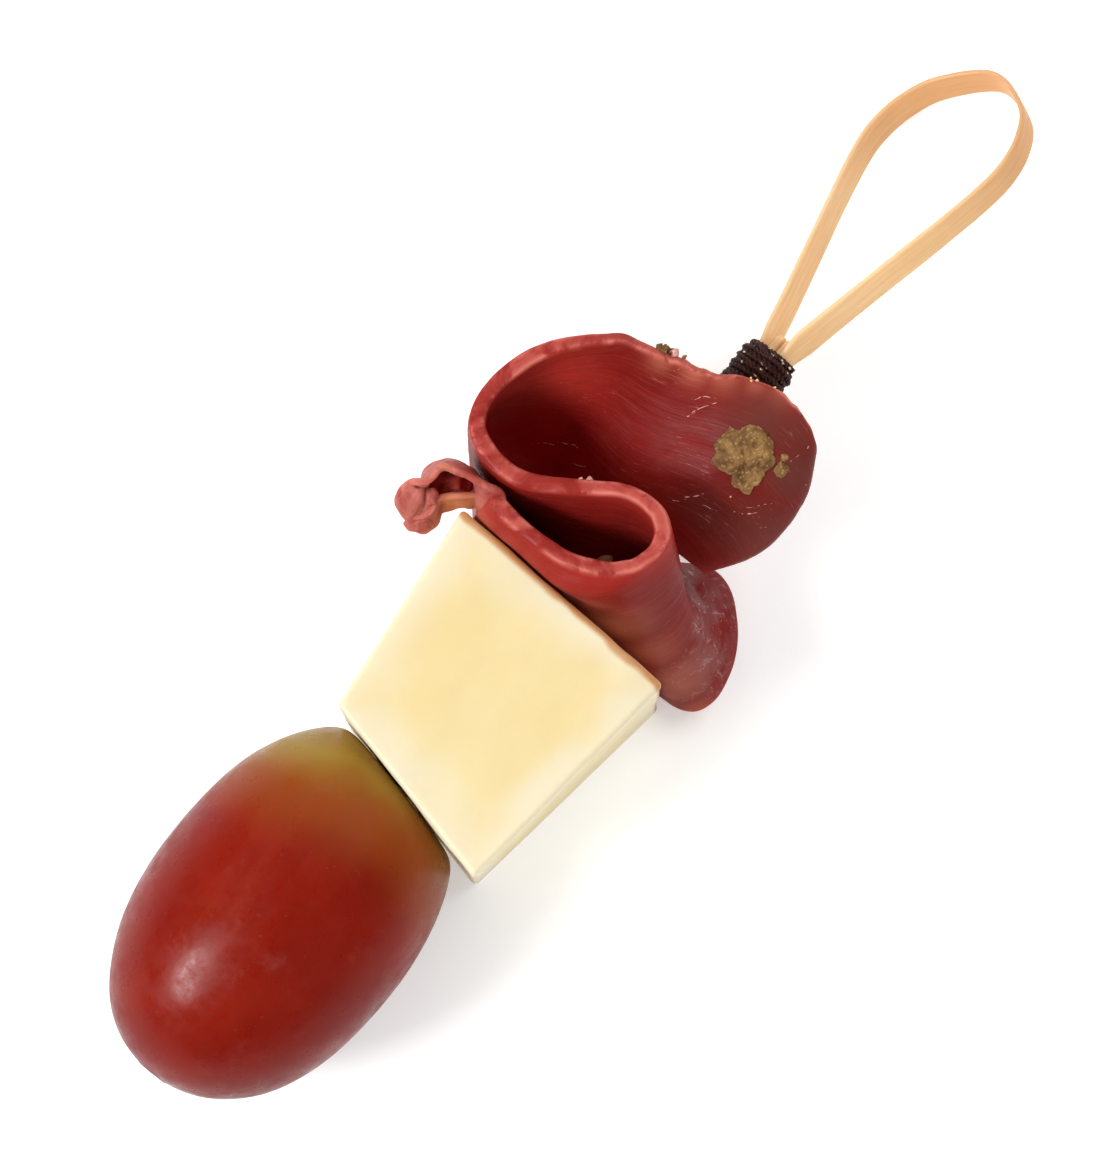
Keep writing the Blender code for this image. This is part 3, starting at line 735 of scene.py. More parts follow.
def beef_material():
    """Moist cured meat: long fibres, thin pale fat lines, paler cut edges and a greyish dry patch, with
    painted light, painted shade and painted highlights in places.
    """
    paint = Paint("cured_beef")
    edge = paint.attribute("edge")
    dry = paint.attribute("dry")
    cloud = paint.noise(170, 4)
    fibre = paint.fibres(0.10, 2.4, 5, 0.6, 0.5)
    hair = paint.fibres(0.16, 7.5, 3, 0.6, 0.3)
    paint.base(paint.slope(cloud, 0.3, 0.7), (109, 16, 15), (124, 26, 23))
    paint.coat(paint.slope(fibre, 0.42, 0.70, 0, 0.34), 100, 14, 14)
    paint.coat(paint.slope(hair, 0.54, 0.74, 0, 0.36), 168, 70, 60)
    # Painted light: brighter red where light falls on the slice.
    paint.coat(paint.attribute("bright"), 192, 60, 50)
    # Painted shade: dark saturated red in the shaded hollows of the fold, the cup and the tail.
    paint.coat(paint.attribute("deep"), 184, 18, 9)
    paint.coat(paint.attribute("shade"), 100, 54, 47)
    # Browned tint on the petal's rim; by the cheese, painted light on the wall in the crevice.
    paint.coat(paint.attribute("brown"), 204, 120, 94)
    scratch = paint.fibres(0.7, 13, 2, 0.5, 0.8)
    streaky = paint.slope(paint.noise(240, 3), 0.46, 0.64)
    paint.coat(paint.times(paint.slope(scratch, 0.64, 0.72, 0, 0.5), streaky), 206, 128, 114)
    fat = paint.fibres(0.16, 1.1, 6, 0.7, 1.6)
    paint.coat(paint.slope(fat, 0.66, 0.76, 0, 0.30), 190, 106, 94)
    # Painted light: brighter red on the inner wall just below the upper cut edge.
    paint.coat(paint.attribute("glow"), 178, 46, 38)
    paint.coat(paint.times(edge, 0.30), 160, 62, 54)
    marble = paint.noise(260, 5, 0.62, 0.9)
    rind = paint.mix(paint.slope(marble, 0.38, 0.66), linear(132, 36, 32), linear(188, 92, 82))
    paint.coat(paint.slope(edge, 0.72, 0.98, 0, 0.70), rind)
    # Painted highlight: thin pale line along the cut edges, blotched by the marbling.
    lip = paint.times(paint.attribute("lip"), paint.slope(marble, 0.44, 0.60, 0, 0.60))
    paint.coat(lip, 214, 128, 114)
    specks = paint.slope(paint.cells(paint.place, 1100), 0.05, 0.12, 1, 0)
    spread = paint.slope(paint.noise(330, 2), 0.60, 0.66)
    more_at_rim = paint.slope(edge, 0, 0.5, 0.35, 1)
    paint.coat(paint.times(paint.times(specks, spread), more_at_rim), 240, 178, 166)
    veil = paint.times(dry, paint.slope(paint.noise(420, 5, 0.65), 0.34, 0.60))
    paint.coat(paint.times(veil, 0.85), 146, 114, 113)
    web = paint.noise(760, 5, 0.7, 2.4, at=paint.scaled(paint.place, (1, 1, 0.6)))
    paint.coat(paint.times(paint.slope(web, 0.56, 0.63, 0, 0.75), dry), 206, 186, 184)
    skin = paint.mix(paint.slope(marble, 0.35, 0.65), linear(166, 76, 66), linear(204, 126, 114))
    paint.coat(paint.times(paint.attribute("thin"), 0.70), skin)
    paint.coat(paint.attribute("tan"), 196, 128, 74)
    gloss = paint.slope(cloud, 0.3, 0.7, 0.34, 0.50)
    fine = paint.relief(hair, 0.05, 0.35)
    folded = paint.relief(marble, 0.16, 0.30, below=fine)
    return paint.finish(
        Roughness=paint.math("ADD", gloss, paint.times(paint.attribute("deep"), 0.45), clamp=True),
        Subsurface_Weight=0.12,
        Subsurface_Scale=0.0010,
        Subsurface_Radius=(1, 0.10, 0.05),
        Specular_IOR_Level=0.05,
        Normal=paint.relief(fibre, 0.14, 0.35, below=folded),
    )


class SliceGrid:
    """Grid over the slice: its middle surface and, for each point, where on the slice it lies."""

    def __init__(self):
        stations = even_stops(SLICE_ROWS)
        self.tail_end = len(TAIL) - 1
        self.middle = slice_surface(stations, np.linspace(0, 1, SLICE_COLUMNS))
        step_along = np.gradient(self.middle, axis=0)
        step_across = np.gradient(self.middle, axis=1)
        self.normal = unit(np.cross(step_along, step_across))
        self.outward = unit(step_across)
        self.run = np.cumsum(np.linalg.norm(step_along[:, SLICE_COLUMNS // 2], axis=-1))
        self.width = np.cumsum(np.linalg.norm(step_across, axis=-1), axis=1)
        self.length = np.broadcast_to(self.run[:, None], self.width.shape)
        self.lane = np.stack([self.length, self.width, np.zeros_like(self.width)], -1)
        self.station = np.broadcast_to(stations[:, None], self.width.shape)
        self.from_upper = self.width - self.width[:, :1]
        self.from_lower = self.width[:, -1:] - self.width
        self.to_edge = np.minimum(self.from_upper, self.from_lower)
        self.in_tail = 1 - smooth_step(self.tail_end - 1, self.tail_end + 1, self.station)


def crumple_slice(grid):
    """Wave the slice, crumple its tail and tear its cut edges a little."""
    upper = np.broadcast_to(np.linspace(0, 1, SLICE_COLUMNS) < 0.5, grid.width.shape)
    edge_line = np.stack([grid.length, np.zeros_like(grid.width), np.where(upper, 0, 50)], -1)
    wave = smooth_noise(grid.lane / np.array([7, 8, 1]), 31) * 0.15
    crumple = grid.in_tail * layered_noise(grid.middle / 1.7, 35, 2) * 0.24
    grid.middle = grid.middle + grid.normal * (wave * (1 - grid.in_tail) + crumple)[..., None]
    rag = smooth_noise(edge_line / 1.1, 36) * 0.10 + smooth_noise(edge_line / 3, 37) * 0.18
    rag = rag + near(grid.middle, TORN_SPOTS) * smooth_noise(edge_line / 0.45, 38) * 0.22
    edge_pull = np.exp(-grid.to_edge) * np.where(upper, 1, -1)
    grid.middle = grid.middle + grid.outward * (rag * edge_pull)[..., None]


def quarter_round(share):
    """Rises like a quarter circle from 0 at share 0 to 1 at share 1."""
    return np.sqrt(1 - (1 - np.clip(share, 0, 1)) ** 2)


def half_thickness(grid):
    """Half the slice's thickness: less in the tail and at the petal's end, rounded off at all edges."""
    thick = SLICE_THICKNESS * (1 - 0.52 * grid.in_tail)
    thick = thick * (0.70 + 0.30 * smooth_step(0, 1.6, len(STATIONS) - 1 - grid.station))
    thick = thick * (1 + 0.10 * smooth_noise(grid.lane / 4, 32))
    end_gap = np.minimum(grid.run, grid.run[-1] - grid.run)[:, None]
    at_edge = 0.72 + 0.28 * quarter_round(grid.to_edge / 0.28)
    return 0.5 * thick * at_edge * (0.30 + 0.70 * quarter_round(end_gap / 0.5))


def slice_sheets(grid):
    """The slice's two finely ridged faces; the second swells towards the cheese where it runs past it."""
    half = half_thickness(grid)
    sheets = []
    for side, seed in ((1, 41), (-1, 51)):
        grain = smooth_noise(grid.lane / np.array([7, 0.55, 1]), seed) * 0.020
        grain += smooth_noise(grid.lane / np.array([4, 0.28, 1]), seed + 1) * 0.010
        pits = np.minimum(smooth_noise(grid.lane / np.array([1.4, 0.8, 1]), seed + 2), 0) * 0.03
        sheets.append(grid.middle + grid.normal * (side * (half + grain + pits))[..., None])
    first = grid.tail_end
    final = first + len(RUN_BY_CHEESE)
    swell = smooth_step(first - 1.6, first + 0.2, grid.station)
    swell = swell * (1 - smooth_step(final - 1.2, final + 1.4, grid.station))
    swell = swell * smooth_step(0.1, 1.5, grid.from_upper) * smooth_step(0.3, 3, grid.from_lower)
    limit = SWELL_LIMIT_X + 0.10 * smooth_noise(grid.lane / 2.2, 61)
    sheets[1][..., 0] -= swell * np.maximum(sheets[1][..., 0] - limit, 0)
    return sheets


def slice_rim(grid, sheets, column, way):
    """Slightly domed cut edge that joins the two faces at one column, from the first to the second."""
    share = (np.arange(RIM_COLUMNS) + 1) / (RIM_COLUMNS + 1)
    start, end = (sheet[:, column, None] for sheet in sheets)
    place = np.broadcast_arrays(grid.run[:, None] / 0.7, share * 2, float(column))
    dome = 0.10 * np.sin(math.pi * share) + 0.035 * smooth_noise(np.stack(place, -1), 44)
    flat = start * (1 - share[:, None]) + end * share[:, None]
    return flat + (way * grid.outward[:, column, None]) * dome[..., None]


def slice_faces(columns):
    """Faces round the slice, with a strip that closes each of its ends."""
    faces = grid_faces(SLICE_ROWS, columns, wrap=True)
    across_from = 2 * SLICE_COLUMNS + RIM_COLUMNS - 1
    for first in (0, (SLICE_ROWS - 1) * columns):
        last = first + across_from
        faces += [(first + j, first + j + 1, last - j - 1, last - j) for j in range(SLICE_COLUMNS - 1)]
    return faces


def round_section(values, rim=None):
    """Numbers on the sheets laid out for the closed section; the rims repeat their edge or take their own."""
    if rim is None:
        far, close = (np.repeat(values[:, [column]], RIM_COLUMNS, axis=1) for column in (-1, 0))
    else:
        far = close = np.broadcast_to(rim, (SLICE_ROWS, RIM_COLUMNS))
    return np.concatenate([values, far, values[:, ::-1], close], axis=1)


def mark_slice(piece, grid, section):
    """Store on the slice what its material reads: fibre place, edges, tail, tinted places and places of
    painted light, shade and highlights.
    """
    rim_share = (np.arange(RIM_COLUMNS) + 1) / (RIM_COLUMNS + 1)
    # Painted highlight near both borders of the rim.
    lip_on_rim = np.exp(-((np.minimum(rim_share, 1 - rim_share) / 0.16) ** 2))
    petal_start = len(STATIONS) - len(PETAL)
    before_petal = 1 - smooth_step(petal_start - 0.5, petal_start + 2.5, grid.station)
    # Painted light that fades away from the upper cut edge, not in the tail or the petal.
    glow = 0.60 * np.exp(-grid.from_upper / 2.4) * (1 - grid.in_tail) * before_petal
    column = np.arange(section.shape[1])
    # Painted shade: the fold's hollow on the first face, the cup on the second.
    in_fold = near(section, DEEP_IN_FOLD) * (column < SLICE_COLUMNS)
    in_cup = near(section, DEEP_IN_CUP) * (column >= SLICE_COLUMNS + RIM_COLUMNS)
    add_attributes(
        piece,
        along=round_section(grid.length),
        across=round_section(grid.width),
        edge=round_section(np.exp(-grid.to_edge / 0.7), np.ones(RIM_COLUMNS)),
        lip=round_section(np.exp(-((grid.to_edge / 0.16) ** 2)), lip_on_rim),
        thin=round_section(grid.in_tail),
        tan=round_section(near(grid.middle, TAN_SPOTS) * (grid.station < grid.tail_end)),
        glow=round_section(glow),
        dry=near(section, DRY_SPOTS),
        bright=near(section, BRIGHT_SPOTS),
        shade=near(section, SHADE_SPOTS),
        brown=near(section, BROWN_SPOTS),
        deep=np.maximum(in_fold, in_cup),
    )


def make_beef(material):
    """Folded slice with wavy surface, ragged cut edges, fibres and a crumpled thin tail."""
    grid = SliceGrid()
    crumple_slice(grid)
    sheets = slice_sheets(grid)
    lower_rim = slice_rim(grid, sheets, -1, 1)
    upper_rim = slice_rim(grid, sheets[::-1], 0, -1)
    section = np.concatenate([sheets[0], lower_rim, sheets[1][:, ::-1], upper_rim], axis=1)
    faces = slice_faces(section.shape[1])
    piece = add_piece("beef_fold", section.reshape(-1, 3), faces, material, "beef", "beef_slice")
    recalculate(piece)
    mark_slice(piece, grid, section)
    return section


class Resting:
    """Finds places on the upward side of the slice."""

    def __init__(self, section):
        step_a = np.gradient(section, axis=0)
        step_b = np.roll(section, -1, axis=1) - np.roll(section, 1, axis=1)
        normal = unit(np.cross(step_a, step_b)).reshape(-1, 3)
        self.points = section.reshape(-1, 3)
        self.normals = np.where(normal[:, 2:] < 0, -normal, normal)
        self.tree = KDTree(len(self.points))
        for index, (x, y, _) in enumerate(self.points.tolist()):
            self.tree.insert((x, y, 0), index)
        self.tree.balance()

    def settle(self, plan):
        """Points and normals of the topmost surface above places in plan."""
        places = []
        normals = []
        for x, y in np.asarray(plan, float).tolist():
            found = self.tree.find_range((x, y, 0), SETTLE_REACH) or self.tree.find_n((x, y, 0), 6)
            chosen = np.array([index for _, index, _ in found])
            gap = np.array([distance for _, _, distance in found])
            upper = self.points[chosen, 2] > self.points[chosen, 2].max() - SETTLE_DEPTH
            weight = (np.exp(-((gap / SETTLE_BLUR) ** 2)) + 1e-9) * upper
            height = (self.points[chosen, 2] * weight).sum() / weight.sum()
            places.append([x, y, height])
            normals.append((self.normals[chosen] * weight[:, None]).sum(axis=0))
        return np.array(places), unit(np.array(normals))


def make_strands(resting):
    """Thin pale strands that lie in the surface of the slice."""
    shapes = []
    for number, (reach, waypoints) in enumerate(STRANDS):
        waypoints = np.array(waypoints)
        count = 12 * len(waypoints)
        plan = curve_through(waypoints, np.linspace(0, len(waypoints) - 1, count))
        lane = np.linspace(0, 3 * len(waypoints), count)
        jitter = smooth_noise(on_line(lane, number), 91)
        plan = plan + np.stack([jitter, -jitter], -1) * 0.05
        path, normals = resting.settle(plan)
        swell = 0.55 + 0.45 * smooth_noise(on_line(lane * 1.3, number), 92)
        taper = np.sin(np.linspace(0.06, 0.94, count) * math.pi) ** 0.5
        shapes.append(tube(path - normals * reach * 0.35, 7, reach * swell * taper))
    points, faces = join_shapes(shapes)
    sinew = mottled_material("pale_sinew", (176, 96, 88), (226, 188, 180), (1800, 4), 0.34, (0.04, 0.5))
    add_piece("beef_strands", points, faces, sinew, "beef")


def ball(sides, rings_count):
    """Points and faces of a unit ball."""
    tilt = (np.arange(rings_count) + 0.5) * math.pi / rings_count
    turn = np.arange(sides) * math.tau / sides
    points = np.stack(
        [
            np.sin(tilt)[:, None] * np.cos(turn)[None],
            np.sin(tilt)[:, None] * np.sin(turn)[None],
            np.cos(tilt)[:, None] * np.ones(sides)[None],
        ],
        -1,
    ).reshape(-1, 3)
    return points, closed_rings(rings_count, sides)


def make_tail_lumps(material):
    """Crumpled end of the tail: small folded lumps pressed together, over the floor of its hollow."""
    shapes = []
    deep = []
    for number, (x, y, z, wide, deep_half, tall, turn, depth) in enumerate(TAIL_LUMPS):
        points, faces = ball(72, 44)
        folds = smooth_noise(points * np.array([0.9, 2.2, 1.2]) + number * 7, 95)
        creases = -np.abs(smooth_noise(points * 1.5 + number * 5, 96))
        fine = smooth_noise(points * 5 + number, 97)
        points = points * (1 + 0.20 * folds + 0.20 * creases + 0.03 * fine)[:, None]
        points = points * np.array([wide, deep_half, tall])
        turned = points @ np.array(Matrix.Rotation(math.radians(turn), 3, "Z")).T
        shapes.append((turned + np.array([x, y, z]), faces))
        deep.append(np.full(len(points), depth))
    points, faces = join_shapes(shapes)
    deep = np.concatenate(deep)
    piece = add_piece("beef_tail_lumps", points, faces, material, "beef")
    pale = 0.5 + 0.5 * smooth_noise(points / 0.9, 98)
    # Painted highlight on the ridges of the tail lumps.
    ridge = 1 - np.clip(np.abs(smooth_noise(points / 1.1, 99)) / 0.10, 0, 1)
    plain = dict.fromkeys(("dry", "bright", "shade", "brown", "tan", "glow"), np.zeros(len(points)))
    add_attributes(
        piece,
        along=points[:, 0] - points[:, 1],
        across=points[:, 2] * 1.5,
        thin=1 - deep,
        deep=deep,
        edge=0.55 * pale * (1 - deep),
        lip=ridge * (1 - deep),
        **plain,
    )


def mottled_material(name, dark, light, tone_shape, roughness, relief):
    """Small mottled pieces: crumbs, or strands of fat and sinew."""
    paint = Paint(name)
    tone = paint.noise(*tone_shape)
    paint.base(paint.slope(tone, 0.35, 0.65), dark, light)
    return paint.finish(Roughness=roughness, Specular_IOR_Level=0.45, Normal=paint.relief(tone, *relief))


def crumb_material(name, dark, light):
    """Small grains with mottled colour."""
    return mottled_material(name, dark, light, (2600, 3), 0.42, (0.05, 0.6))


def crust_material():
    """Dry browned seasoning: rough tan flakes, darker in places, with dark gaps."""
    paint = Paint("brown_crust")
    lumps = paint.noise(520, 7, 0.70, 0.6)
    grit = paint.cells(paint.place, 3200)
    paint.base(paint.slope(lumps, 0.36, 0.64), (100, 66, 34), (152, 114, 64))
    paint.coat(paint.slope(grit, 0.10, 0.42, 0.50, 0), 186, 152, 96)
    gap = paint.noise(1300, 5, 0.6, 1)
    paint.coat(paint.slope(gap, 0.30, 0.44, 0.65, 0), 70, 42, 20)
    fine = paint.relief(grit, 0.08, 0.6)
    bumps = paint.relief(lumps, 0.30, 0.8, below=fine)
    return paint.finish(Roughness=0.78, Specular_IOR_Level=0.25, Normal=bumps)


def make_crust(resting, material):
    """Patch of browned seasoning stuck to the petal, with smaller patches beside it."""
    shapes = []
    for number, (x, y, height, radii) in enumerate(CRUST_PATCHES):
        sides = 96
        steps = 30
        turn = np.arange(sides) * math.tau / sides
        outline = np.interp(turn, np.linspace(0, math.tau, len(radii) + 1), [*radii, radii[0]])
        ring = np.stack([np.cos(turn), np.sin(turn), np.zeros(sides)], -1)
        wavy = 0.13 * smooth_noise(ring * 4 + number, 101)
        outline = outline * (1 + wavy + 0.05 * smooth_noise(ring * 12, 102))
        share = np.linspace(0.02, 1, steps)
        local = ring[None, :, :2] * (share[:, None] * outline[None])[..., None]
        angle = -math.radians(CRUST_TURN)
        spin = np.array([[math.cos(angle), -math.sin(angle)], [math.sin(angle), math.cos(angle)]])
        plan = local.reshape(-1, 2) @ spin.T + np.array([x, y])
        places, normals = resting.settle(plan)
        lane = np.concatenate([plan, plan[:, :1] * 0], axis=1)
        rough = layered_noise(lane / 0.55, 103, 3) * 0.5 + 0.5
        rim = np.repeat(np.sqrt(np.clip(1 - share**3, 0, 1)), sides)
        lift = height * rim * (0.45 + 0.75 * rough) - 0.06
        points = places + normals * lift[:, None]
        faces = grid_faces(steps, sides, wrap=True)
        faces.append(tuple(range(sides))[::-1])
        shapes.append((points, faces))
    points, faces = join_shapes(shapes)
    add_piece("crust_patch", points, faces, material, "beef")


def make_crumbs(resting, name, material, crumbs):
    """Small irregular crumbs resting on the slice."""
    shapes = []
    for number, (x, y, size, lift) in enumerate(crumbs):
        points, faces = ball(16, 10)
        points = points * (1 + 0.35 * smooth_noise(points * 1.6 + number * 3, 111))[:, None]
        places, normals = resting.settle([(x, y)])
        squash = np.array([1, 0.75, 0.6])
        shapes.append((points * size * squash + places[0] + normals[0] * (size * 0.3 + lift), faces))
    points, faces = join_shapes(shapes)
    add_piece(name, points, faces, material, "beef")


# ---- Pick: tines, loop and winding ----

def roll_direction():
    """Direction in which the two legs and the two tines sit side by side."""
    return np.array([0, -math.cos(LOOP_ROLL), math.sin(LOOP_ROLL)])


def bamboo_material(name, light, dark):
    """Planed bamboo: long straight grain in fine dark and pale lines, browner towards the loop's far end."""
    paint = Paint(name)
    grain = paint.fibres(0.12, 9, 4, 0.6, 0.3)
    line = paint.fibres(0.25, 22, 2)
    tone = paint.fibres(0.16, 1.2, 3)
    paint.base(paint.slope(grain, 0.3, 0.7), light, dark)
    paint.coat(paint.slope(line, 0.58, 0.76, 0, 0.45), 190, 126, 66)
    paint.coat(paint.slope(tone, 0.35, 0.7, 0, 0.35), 242, 208, 160)
    paint.coat(paint.times(paint.attribute("edge"), 0.45), 244, 216, 172)
    along_pick = paint.node("SeparateXYZ", "X", {0: paint.place})
    browned = paint.slope(along_pick, BROWNED_FROM_X * MM, BROWNED_TO_X * MM, 0, 0.70)
    paint.coat(browned, 204, 142, 86)
    fine = paint.relief(line, 0.03, 0.5)
    return paint.finish(
        Roughness=paint.slope(grain, 0.3, 0.7, 0.46, 0.60),
        Specular_IOR_Level=0.4,
        Subsurface_Weight=0.12,
        Subsurface_Scale=0.0006,
        Normal=paint.relief(grain, 0.05, 0.5, below=fine),
    )


def tine_ends(side):
    """Back end and tip of a tine; side is +1 for the upper one and -1 for the lower one."""
    back = np.array([TINE_BACK_X, 0, PICK_HEIGHT]) + roll_direction() * (0.5 * side * TINE_SPACING_BACK)
    tip = np.array([TINE_TIP_X, 0, PICK_HEIGHT]) + roll_direction() * (0.5 * side * TINE_SPACING_TIP)
    return back, tip


def make_tine(name, node, side, material):
    """Slim round stick with a worn, slightly split back end."""
    back, tip = tine_ends(side)
    length = np.linalg.norm(tip - back)
    shaft = np.linspace(0.8, length - 2, 90)
    stops = np.concatenate([np.linspace(0, 0.5, 10), shaft, [length - 1, length]])
    worn = 1 - 0.45 * np.clip(1 - stops / 0.35, 0, 1) ** 2
    point = 1 - 0.75 * np.clip((stops - (length - 2)) / 2, 0, 1)
    path = back + np.outer(stops, (tip - back) / length)
    sides = 28
    points, faces = tube(path, sides, TINE_RADIUS * worn * point)
    angle = np.tile(np.arange(sides) * math.tau / sides, len(path))
    away = np.repeat(stops, sides)
    ridges = smooth_noise(np.stack([away / 6, np.cos(angle) * 3, np.sin(angle) * 3], -1), 61 + side)
    centre = np.repeat(path, sides, axis=0)
    points = points + (points - centre) * (0.07 * ridges)[:, None]
    piece = add_piece(name, points, faces, material, "bamboo_stick", node)
    add_attributes(piece, along=away, across=np.cos(angle) * 0.6 + np.sin(angle) * 0.35, edge=0 * away)


def loop_outline():
    """Middle line of the loop's strip in its own plane, from one bound end round to the other."""
    leg = [
        (-LEG_INSIDE_BINDING, LEG_OFFSET),
        (0, LEG_OFFSET),
        (0.10 * LOOP_LENGTH, 0.28 * LOOP_HALF_WIDTH),
        (0.30 * LOOP_LENGTH, 0.53 * LOOP_HALF_WIDTH),
        (0.50 * LOOP_LENGTH, 0.79 * LOOP_HALF_WIDTH),
        (0.64 * LOOP_LENGTH, 0.95 * LOOP_HALF_WIDTH),
        (0.74 * LOOP_LENGTH, LOOP_HALF_WIDTH),
        (0.84 * LOOP_LENGTH, 0.91 * LOOP_HALF_WIDTH),
        (0.93 * LOOP_LENGTH, 0.64 * LOOP_HALF_WIDTH),
    ]
    tip = [(LOOP_LENGTH, 0)]
    other_leg = [(u, -v) for u, v in reversed(leg)]
    return np.array(leg + tip + other_leg)


def make_loop(material):
    """Flat strip bent into a teardrop, with slightly rounded edges and a planed, faintly wavy face."""
    outline = loop_outline()
    count = 360
    line = curve_through(outline, np.linspace(0, len(outline) - 1, count))
    line = smooth_line(line, 3)
    tangent = unit(np.gradient(line, axis=0))
    lean = np.array(Matrix.Rotation(LOOP_YAW, 3, "Z") @ Matrix.Rotation(LOOP_DROOP, 3, "Y"))
    straight = np.array([1, 0, 0])
    along = lean @ straight
    across = lean @ roll_direction()
    width_way = np.cross(along, across)
    root = np.array([BINDING_END_X, 0, PICK_HEIGHT])
    bent = line[:, :1] * along + line[:, 1:] * across
    bound = line[:, :1] * straight + line[:, 1:] * roll_direction()
    centre = root + np.where(line[:, :1] > 0, bent, bound)
    side = -tangent[:, 1:] * along + tangent[:, :1] * across
    widen = np.clip((line[:, 0] + 0.4) / 2, 0, 1)
    run = np.cumsum(np.linalg.norm(np.gradient(line, axis=0), axis=1))
    half_width = 0.5 * (PARED_WIDTH + (STRIP_WIDTH - PARED_WIDTH) * widen)
    half_width = half_width * (1 + 0.03 * smooth_noise(on_line(run / 5), 71))
    half_depth = 0.5 * STRIP_THICKNESS

    section = []
    face_steps = 12
    for face in (1, -1):
        for step in range(face_steps + 1):
            section.append((face * (1 - 2 * step / face_steps), face))
    section = np.array(section)
    past_flat = np.clip((np.abs(section[:, 0]) - 0.86) / 0.14, 0, 1)
    shoulder = np.sqrt(1 - 0.75 * past_flat**2)
    offset_w = section[None, :, 0] * half_width[:, None]
    offset_d = np.broadcast_to(section[None, :, 1] * half_depth * shoulder[None], offset_w.shape)
    lane = np.stack([np.broadcast_to(run[:, None] / 5, offset_w.shape), offset_w * 5, offset_d * 4], -1)
    offset_d = offset_d * (1 + 0.10 * smooth_noise(lane, 72))
    points = centre[:, None] + width_way * offset_w[..., None] + side[:, None] * offset_d[..., None]
    faces = closed_rings(count, len(section))
    piece = add_piece("bamboo_loop", points.reshape(-1, 3), faces, material, "bamboo_strip", "loop_strip")
    add_attributes(
        piece,
        along=np.broadcast_to(run[:, None], offset_w.shape),
        across=offset_w + 3 * (section[None, :, 1] > 0),
        edge=smooth_step(0.80, 1, np.abs(np.broadcast_to(section[:, 0], offset_w.shape))),
    )


def smooth_line(line, passes):
    """Line with its small kinks averaged out, its ends kept."""
    for _ in range(passes):
        inner = 0.25 * line[:-2] + 0.5 * line[1:-1] + 0.25 * line[2:]
        line = np.concatenate([line[:1], inner, line[-1:]])
    return line


def thread_material():
    """Dark umber spun thread with pale metallic flecks."""
    paint = Paint("brown_thread")
    fuzz = paint.noise(5200, 3)
    paint.base(paint.slope(fuzz, 0.35, 0.7), (36, 13, 9), (72, 34, 24))
    fleck = paint.cells(paint.scaled(paint.place, (1, 0.6, 0.6)), 2300)
    few = paint.slope(paint.noise(1500, 1), 0.47, 0.55)
    shine = paint.times(paint.slope(fleck, 0.16, 0.26, 1, 0), few)
    paint.coat(shine, 246, 220, 186)
    return paint.finish(
        Roughness=paint.math("SUBTRACT", 0.62, paint.times(shine, 0.35)),
        Specular_IOR_Level=0.3,
        Normal=paint.relief(fuzz, 0.05, 0.8),
    )


def oval_point(angle, reach):
    """Offset square to the pick at an angle round it; the winding is a little wider across the legs."""
    legs_way = roll_direction()
    width_way = np.cross(np.array([1, 0, 0]), legs_way)
    return (
        np.outer(np.cos(angle) * 1.04, legs_way) + np.outer(np.sin(angle) * 0.98, width_way)
    ) * np.asarray(reach)[:, None]


def wound_strand(start_x, end_x, turns, reach, phase, seed):
    """Path of one wrap of thread round the pick, slightly uneven."""
    count = int(64 * turns)
    share = np.linspace(0, 1, count)
    angle = phase + share * turns * math.tau
    wobble = smooth_noise(on_line(share * turns * 1.7), seed)
    x = start_x + (end_x - start_x) * share + 0.07 * wobble
    path = oval_point(angle, reach + 0.05 * wobble)
    path[:, 0] = x
    path[:, 2] += PICK_HEIGHT
    return path


def plied(path, radius, pitch):
    """Two thin strands twisted round a path."""
    tangent = unit(np.gradient(path, axis=0))
    run = np.cumsum(np.linalg.norm(np.gradient(path, axis=0), axis=1))
    outward = path - np.array([0, 0, PICK_HEIGHT])
    outward[:, 0] = 0
    outward = unit(outward - tangent * np.sum(outward * tangent, axis=1, keepdims=True))
    beside = np.cross(tangent, outward)
    shapes = []
    for half_turn in (0, math.pi):
        twist = run / pitch * math.tau + half_turn
        strand = path + radius * 0.5 * (np.cos(twist)[:, None] * outward + np.sin(twist)[:, None] * beside)
        shapes.append(tube(strand, 8, radius * 0.62))
    return shapes


def make_winding():
    """Ten close wraps of two-ply thread over a core, with two wraps that cross them."""
    shapes = []
    first = BINDING_START_X + 0.22
    final = BINDING_END_X - 0.22
    shapes += plied(wound_strand(first, final, 10, BINDING_RADIUS + 0.02, 0.4, 81), 0.235, 0.9)
    shapes += plied(wound_strand(first + 1.4, final - 0.5, 1.6, BINDING_RADIUS + 0.20, 2.1, 82), 0.20, 0.8)
    shapes += plied(wound_strand(final - 0.3, first + 1.9, 1.2, BINDING_RADIUS + 0.18, 4.6, 83), 0.20, 0.8)
    core_x = np.linspace(BINDING_START_X + 0.15, BINDING_END_X - 0.12, 24)
    core = on_line(core_x, PICK_HEIGHT)
    taper = np.where((core_x < core_x[1]) | (core_x > core_x[-2]), 0.86, 1)
    shapes.append(tube(core, 40, (BINDING_RADIUS - 0.08) * taper))
    points, faces = join_shapes(shapes)
    add_piece("thread_winding", points, faces, thread_material(), "thread", "thread_binding")


# ---- Studio ----

